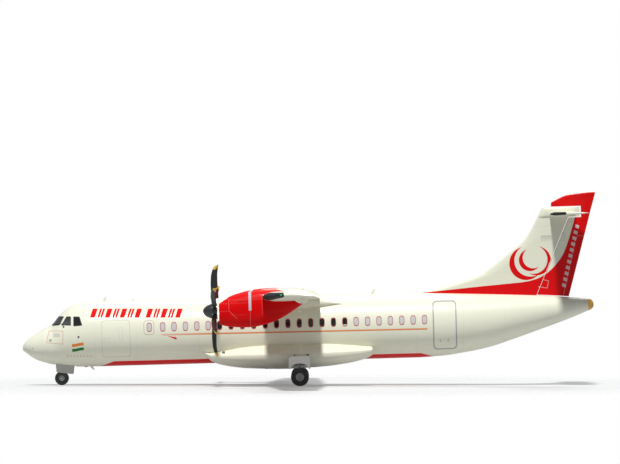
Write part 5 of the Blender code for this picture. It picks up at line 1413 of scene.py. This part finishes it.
class AIRLINER_OT_wings(bpy.types.Operator):
    """Builds both wings, their flaps, ailerons and the flaps' bracket fairings"""
    bl_idname = "airliner.wings"
    bl_label = "Wings"

    # name, inner end, outer end and the share of the chord at the hinge
    SURFACES = (("inner_flap", 1.42, 3.42, FLAP_HINGE), ("outer_flap", 4.78, 9.10, FLAP_HINGE),
                ("aileron", 9.22, 12.95, 0.72))
    BRACKETS = (5.9, 8.1)
    # the bracket fairing's keel under the hinge, as (station, height)
    KEEL = np.array(((-0.52, 0.01), (-0.34, -0.17), (-0.08, -0.30), (0.06, -0.29), (0.19, -0.23),
                     (0.28, -0.10)))

    def execute(self, context):
        for side, word in SIDES:
            inboard = [wing_section(side * y) for y in (0.0004, 2.3, KINK_Y, 6.9, 9.2, 11.3)]
            wing = Shape(np.array(rings_of((*inboard, *wing_tip(side))))).mesh("wing")
            notches = []
            for name, y0, y1, share in self.SURFACES:
                notches.append(notch(wing_section, side, y0, y1, share))
                part = hinged_part(wing_section, side, y0, y1, share, "wing")
                if name == "outer_flap":
                    part = carve(part, *(self.slot_box(side * y) for y in self.BRACKETS))
                set_piece("%s_skin_%s" % (name, word), part, "white_paint", name + "_" + word,
                          body=name + "_" + word)
            set_piece("wing_skin_" + word, carve(wing, *notches), "white_paint", "wing_" + word)
            canoes = Shape(*(self.canoe(side * y) for y in self.BRACKETS))
            set_piece("flap_bracket_fairings_" + word, canoes.mesh("white"), "white_paint")
        return {"FINISHED"}

    def slot_box(self, y):
        """The slot in the flap for a bracket and its fairing."""
        x, _, z = wing_section(y).hinge(FLAP_HINGE)[0]
        return box((x - 0.4, y - 0.060, z - 0.6), (x + 0.325, y + 0.060, z + 0.6))

    def canoe(self, y):
        """A slim boat form: an oval whose top lies just under the wing's upper side, with a table's keel."""
        section = wing_section(y)
        hinge_x, _, hinge_z = section.hinge(FLAP_HINGE)[0]
        first, last = self.KEEL[0, 0], self.KEEL[-1, 0]
        x = np.linspace(first, last, 26)
        share = (hinge_x + x - section.origin[0]) / section.chord / math.cos(section.incidence)
        top = section.at(share, section.sides(share)[0] - 0.014)[..., 2] - hinge_z
        top = np.where(x < -0.02, np.minimum(top, 0.02), top)
        t = (x - first) / (last - first)
        width = 0.045 * np.clip(4.6 * t, 0.0, 1.0) ** 0.5 * np.clip(9.0 * (1.0 - t), 0.02, 1.0) ** 0.5
        return oval(hinge_x + x, hinge_z + top, hinge_z + read_table(self.KEEL, 1, x), width, y, 4.0, 2.0, 40)


class AIRLINER_OT_tail(bpy.types.Operator):
    """Builds the fin, rudder, tailplane, elevators and the fairing where they meet"""
    bl_idname = "airliner.tail"
    bl_label = "Tail"

    # the fin's front, as (height, station)
    LEAD = np.array(((1.05, 4.90), (1.436, 5.25), (1.65, 6.07), (1.95, 7.17), (2.24, 7.99), (2.62, 8.56),
                     (3.28, 9.40), (3.70, 9.94), (4.12, 10.24), (4.63, 10.52), (5.16, 10.80)))
    # the fairing's half width by height, and its outline as (share of the length, share of the width)
    FAIRING = np.array(((4.72, 0.100), (4.80, 0.135), (4.96, 0.140), (5.08, 0.120), (5.15, 0.085)))
    FAIRING_OUTLINE = ((0.0, 0.0), (0.015, 0.36), (0.06, 0.70), (0.20, 1.0), (0.55, 0.95), (0.85, 0.45),
                       (1.0, 0.12))
    # the front of the rudder's horn, as (height, station), and its outline
    HORN = np.array(((5.20, 11.20), (5.37, 11.21), (5.48, 11.40), (5.575, 11.59), (5.70, 11.92),
                     (5.755, 12.32), (5.785, 12.66), (5.805, 12.92)))
    HORN_OUTLINE = ((0.0, 0.0), (0.02, 0.45), (0.09, 0.85), (0.30, 1.0), (0.62, 0.72), (1.0, 0.12))

    def execute(self, context):
        heights = np.concatenate((np.linspace(1.05, 2.3, 26), np.linspace(2.38, 4.7196, 26)))
        fin = Shape(np.array([self.fin_slice(z) for z in heights])).mesh("fin")
        set_piece("fin_skin", fin, "white_paint", "fin")
        self.rudder()
        self.tailplane()
        self.root_fairing()
        return {"FINISHED"}

    def hinge_x(self, z):
        return mixed(10.485, 12.19, (z - 1.0) / 4.0)

    def trailing_x(self, z):
        return mixed(11.87, 13.235, (z - 1.0) / 4.805)

    def half_thickness(self, z):
        return mixed(0.115, 0.075, (z - 1.0) / 4.0)

    def fin_slice(self, z):
        """A slice that keeps its nose's length where the dorsal part is long."""
        lead, half = float(read_table(self.LEAD, 1, z)), self.half_thickness(z)
        trail = self.hinge_x(z) - half - 0.02
        ramp = min(1.0, 1.1 / (trail - lead))
        table = ((0.0, 0.0), (0.012 * ramp, 0.30), (0.06 * ramp, 0.62), (0.22 * ramp, 0.95),
                 (0.5 * ramp, 1.15), (0.5 + 0.3 * ramp, 1.12), (1.0, 1.0))
        return tapered_slice(lead, trail, half, table, z, np.linspace(0.0, 1.0, 34) ** 1.4)

    def root_fairing(self, trail=12.50):
        """The bullet round the tailplane's root, closed by a lid that draws in."""
        t = np.linspace(0.0, 1.0, 30)
        rows = [tapered_slice(read_table(self.LEAD, 1, z), trail, read_table(self.FAIRING, 1, z),
                              self.FAIRING_OUTLINE, z, t) for z in np.linspace(4.72, 5.15, 16)]
        lid = rows[-1].copy()
        lid[:, 0] = mixed(lid[:, 0].mean(), lid[:, 0], 0.985)
        lid[:, 1] *= 0.7
        set_piece("tailplane_root_fairing", Shape(np.array((*rows, lid))).mesh("white"), "white_paint",
                  "tailplane_fairing")

    def rudder(self, low=4.695, high=5.20):
        """Lower part, link and horn, joined, and cut clear of the fuselage."""
        blade = [self.rudder_slice(z, self.hinge_x(z), self.trailing_x(z), self.half_thickness(z))
                 for z in np.linspace(0.95, low, 12)]
        link = [self.rudder_slice(z, 12.60, self.trailing_x(z) - 0.006, 0.045)
                for z in (low - 0.15, high + 0.15)]
        horn = [tapered_slice(read_table(self.HORN, 1, z), self.trailing_x(z),
                              0.07 * min(1.0, ((5.812 - z) / 0.10) ** 0.5), self.HORN_OUTLINE, z,
                              np.linspace(0.0, 1.0, 26))
                for z in (*np.linspace(high, 5.70, 16), 5.73, 5.76, 5.785, 5.797, 5.805)]
        parts = [Shape(np.array(rows)).mesh("rudder") for rows in (blade, link, horn)]
        x = np.linspace(8.0, 12.96, 40)
        body = Shape(oval(x, *stations(FUSELAGE, x, 0.03))).mesh()
        set_piece("rudder_skin", carve(carve(*parts, operation="UNION"), body), "red_paint", "rudder",
                  body="rudder")

    def rudder_slice(self, z, front, back, half):
        """A round nose on the hinge line and sides that taper to the trailing edge."""
        angle = math.pi / 2 + math.pi * np.arange(13) / 12
        t = np.linspace(0.0, 1.0, 9)[1:]
        wide = read_table(np.array(((0.0, half), (0.5, half * 0.62), (1.0, 0.008))), 1, t)
        x = mixed(front, back, t)
        return np.concatenate((stack(front + half * np.cos(angle), half * np.sin(angle), z),
                               stack(x, -wide, z), stack(x[::-1], wide[::-1], z)))

    def tailplane(self):
        """The fixed tailplane, open where the rudder's link swings, and elevators with skew inner ends."""
        port, starboard = ([*tailplane_tip(side)] for side in (-1, 1))
        middle = [tailplane_section(y) for y in (-2.4, -1.2, 0.0, 1.2, 2.4)]
        plane = Shape(np.array(rings_of((*port[::-1], *middle, *starboard)))).mesh("tailplane")
        cutters = [box((12.30, -0.9, 4.0), (14.0, 0.9, 6.0))]
        root, tip = 0.38, TAILPLANE_HALF_SPAN - 0.22
        for side, word in SIDES:
            cutters.append(notch(tailplane_section, side, root, tip, ELEVATOR_HINGE))
            part = hinged_part(tailplane_section, side, root, tip, ELEVATOR_HINGE, "tailplane")
            inner = side * (root + END_GAP)
            hinge = float(tailplane_section(inner).hinge(ELEVATOR_HINGE)[0][0])
            skew = ((hinge + 0.10, inner - side * 0.5), (hinge + 1.6, inner - side * 0.5),
                    (hinge + 1.6, inner + side * 0.45), (hinge + 0.10, inner))
            cutter = np.array([[(x, y, TAILPLANE_W + off) for x, y in skew] for off in (-0.5, 0.5)])
            set_piece("elevator_skin_" + word, carve(part, Shape(cutter).mesh()), "white_paint",
                      "elevator_" + word, body="elevator_" + word)
        set_piece("tailplane_skin", carve(plane, *cutters), "white_paint", "tailplane")


class AIRLINER_OT_fittings(bpy.types.Operator):
    """Sets the blade antennas, jacking pads, navigation lights, wipers and probes"""
    bl_idname = "airliner.fittings"
    bl_label = "Small fittings"

    # station, length, height above the crown or below the keel, and lean
    ANTENNAS = ((-9.30, 0.15, 0.21, 0.10), (-7.95, 0.10, 0.10, 0.03), (2.86, 0.16, 0.22, 0.13),
                (-9.95, 0.14, -0.15, 0.14))
    # station, across, face and root
    PADS = ((-10.10, 0.0, -1.495, -1.40), (-1.90, -0.90, -1.785, -1.60), (-1.90, 0.90, -1.785, -1.60))
    # station, height on the side, radius and how far it stands out
    SENSORS = ((-10.36, -0.10, 0.045, 0.012), (-11.65, -0.226, 0.030, 0.010), (-11.03, 0.375, 0.042, 0.022),
               (-12.46, -0.571, 0.022, 0.008))
    WIPERS = (((-11.03, 0.385), (-11.07, 0.44), (-11.16, 0.52), (-11.27, 0.60)),
              ((-11.50, 0.40), (-11.47, 0.455), (-11.40, 0.50), (-11.33, 0.56)))

    def execute(self, context):
        antennas = Shape(*(self.antenna(*one) for one in self.ANTENNAS))
        set_piece("blade_antennas", antennas.mesh("white"), "white_paint")
        pads = Shape(*(bar((x, y, root), (x, y, face), 0.07, 40, 0.05) for x, y, face, root in self.PADS))
        set_piece("jacking_pads", pads.mesh("grey_trim"), "grey_metal")
        dark = Shape()
        for side, _ in SIDES:
            for one in self.SENSORS:
                dark.add(self.sensor(side, *one))
            for route in self.WIPERS:
                u, angle = on_skin(np.array(route)).T
                dark.add(tube(skin(u, angle, 0.018, side), 0.009))
        set_piece("sensors_and_wipers", dark.mesh("seal"), "rubber")
        for side, word in SIDES:
            spot = list(wing_tip(side))[4].at(0.012, 0.0)
            lens = block(spot + (-0.015, -0.05, -0.035), spot + (0.21, 0.05, 0.05), 2.2, 32, 14, 0)
            set_piece("navigation_light_" + word, Shape(lens).mesh("light_" + word), "amber_lens")
        return {"FINISHED"}

    def antenna(self, x, length, height, lean):
        """A thin oval blade that leans aft and tapers, and whose foot is sunk in the skin."""
        root = float(read_table(FUSELAGE, 1 if height > 0 else 2, x))
        sunk = math.copysign(0.03, height)
        t, around = np.linspace(0.0, 1.0, 9)[:, None], turn_angles(28)[None, :]
        along = x + length / 2 + lean * t + length * (1.0 - 0.5 * t) / 2 * np.cos(around)
        return stack(along, 0.012 * (1 - 0.4 * t) * np.sin(around), root + (height + sunk) * t - sunk)

    def sensor(self, side, u, w, radius, height):
        """A flat round boss that stands square on the skin."""
        angle = float(skin_angle(u, w))
        profile = ((-0.02, 0.0), (-0.02, radius), (height * 0.5, radius), (height, radius * 0.6),
                   (height, 0.0))
        outward = (0.0, side * math.cos(angle), math.sin(angle))
        return lathe(profile, skin(u, angle, 0.0, side), outward, 32)


class AIRLINER_OT_studio(bpy.types.Operator):
    """Lays the pale floor and sets the lights and the camera"""
    bl_idname = "airliner.studio"
    bl_label = "Studio"

    CAMERA_X, CAMERA_Z, LENS, SENSOR, FIELD = 0.042, 6.95, 400.0, 36.0, 28.157
    SKY_COLOUR, SKY_LIGHT, WHITE = (0.90, 0.97, 1.08, 1.0), 0.23, (1.0, 1.0, 1.0, 1.0)
    FLOOR_REACH, FLOOR_SOFT, FLOOR_ALPHA, FLOOR_Z = 18.5, 6.0, 0.8, -0.004

    def execute(self, context):
        self.floor()
        self.sky(context)
        self.sun("key_light", (-2.0, -19.0, 38.0), 3.3, (1.0, 1.0, 0.98), 5.0)
        self.sun("back_light", (4.0, 26.0, 30.0), 1.1, (1.0, 1.0, 1.0), 20.0)
        context.scene.view_settings.view_transform = "Standard"
        camera = put("camera", bpy.data.cameras.new("camera"))
        camera.data.lens, camera.data.sensor_width = self.LENS, self.SENSOR
        camera.data.clip_start, camera.data.clip_end = 1.0, 3000.0
        camera.location = (self.CAMERA_X, -self.FIELD * self.LENS / self.SENSOR, self.CAMERA_Z)
        camera.rotation_euler = (math.pi / 2, 0.0, 0.0)
        context.scene.camera = camera
        return {"FINISHED"}

    def floor(self):
        """A disc that fades out at its rim."""
        shade = Shade("studio_floor")
        x, y, _ = shade.place()
        grain = shade.noise(0.4, 3.0, 0.5)
        shade.finish(Base_Color=shade.mix(grain, (0.62, 0.62, 0.62), (0.66, 0.66, 0.66)), Roughness=0.8,
                     Alpha=distance(x, y).fall(self.FLOOR_REACH, self.FLOOR_SOFT) * self.FLOOR_ALPHA)
        radius, angle = np.linspace(0.0, 25.0, 6)[:, None], turn_angles(96)[None, :]
        disc = Shape()
        disc.add(stack(radius * np.cos(angle), radius * np.sin(angle), self.FLOOR_Z), caps=False)
        mesh = disc.mesh()
        mesh.materials.append(shade.material)
        put("studio_floor", mesh)

    def sky(self, context):
        """A faint sky light, which the camera sees as plain white."""
        context.scene.world = world = bpy.data.worlds.new("studio")
        world.use_nodes = True
        nodes, links = world.node_tree.nodes, world.node_tree.links
        lit, seen = nodes["Background"], nodes.new("ShaderNodeBackground")
        for back, colour, strength in ((lit, self.SKY_COLOUR, self.SKY_LIGHT), (seen, self.WHITE, 1.0)):
            back.inputs[0].default_value, back.inputs[1].default_value = colour, strength
        choose = nodes.new("ShaderNodeMixShader")
        path = nodes.new("ShaderNodeLightPath")
        for number, socket in enumerate((path.outputs["Is Camera Ray"], lit.outputs[0], seen.outputs[0])):
            links.new(socket, choose.inputs[number])
        links.new(choose.outputs[0], nodes["World Output"].inputs[0])

    def sun(self, name, spot, strength, colour, angle):
        """A lamp that shines from a point towards the origin."""
        lamp = put(name, bpy.data.lights.new(name, "SUN"))
        lamp.data.energy, lamp.data.color, lamp.data.angle = strength, colour, math.radians(angle)
        lamp.location = spot
        lamp.rotation_euler = (-Vector(spot)).to_track_quat("-Z", "Y").to_euler()


OPERATORS = (AIRLINER_OT_fuselage, AIRLINER_OT_doors, AIRLINER_OT_windows, AIRLINER_OT_flight_deck,
             AIRLINER_OT_fairings, AIRLINER_OT_nacelles, AIRLINER_OT_propellers, AIRLINER_OT_wheels,
             AIRLINER_OT_landing_gear, AIRLINER_OT_wings, AIRLINER_OT_tail, AIRLINER_OT_fittings,
             AIRLINER_OT_studio)


class AIRLINER_PT_panel(bpy.types.Panel):
    bl_idname = "AIRLINER_PT_panel"
    bl_label = "Turboprop airliner"
    bl_space_type = "VIEW_3D"
    bl_region_type = "UI"
    bl_category = "Airliner"

    def draw(self, context):
        for group in (context.scene.airliner_paint, context.scene.airliner_sizes):
            column = self.layout.column()
            for name in group.bl_rna.properties.keys():
                if name not in ("rna_type", "name"):
                    column.prop(group, name)
        for operator in OPERATORS:
            self.layout.operator(operator.bl_idname)


CLASSES = (AirlinerPaint, AirlinerSizes, *OPERATORS, AIRLINER_PT_panel)


def register():
    for one in CLASSES:
        bpy.utils.register_class(one)
    bpy.types.Scene.airliner_paint = bpy.props.PointerProperty(type=AirlinerPaint)
    bpy.types.Scene.airliner_sizes = bpy.props.PointerProperty(type=AirlinerSizes)


def unregister():
    del bpy.types.Scene.airliner_sizes
    del bpy.types.Scene.airliner_paint
    for one in reversed(CLASSES):
        bpy.utils.unregister_class(one)


def run_operator(name):
    group, action = name.split(".")
    result = getattr(getattr(bpy.ops, group), action)()
    if result != {"FINISHED"}:
        raise RuntimeError(name + " didn't finish")


def main():
    register()
    for operator in OPERATORS:
        run_operator(operator.bl_idname)


if __name__ == "__main__":
    main()
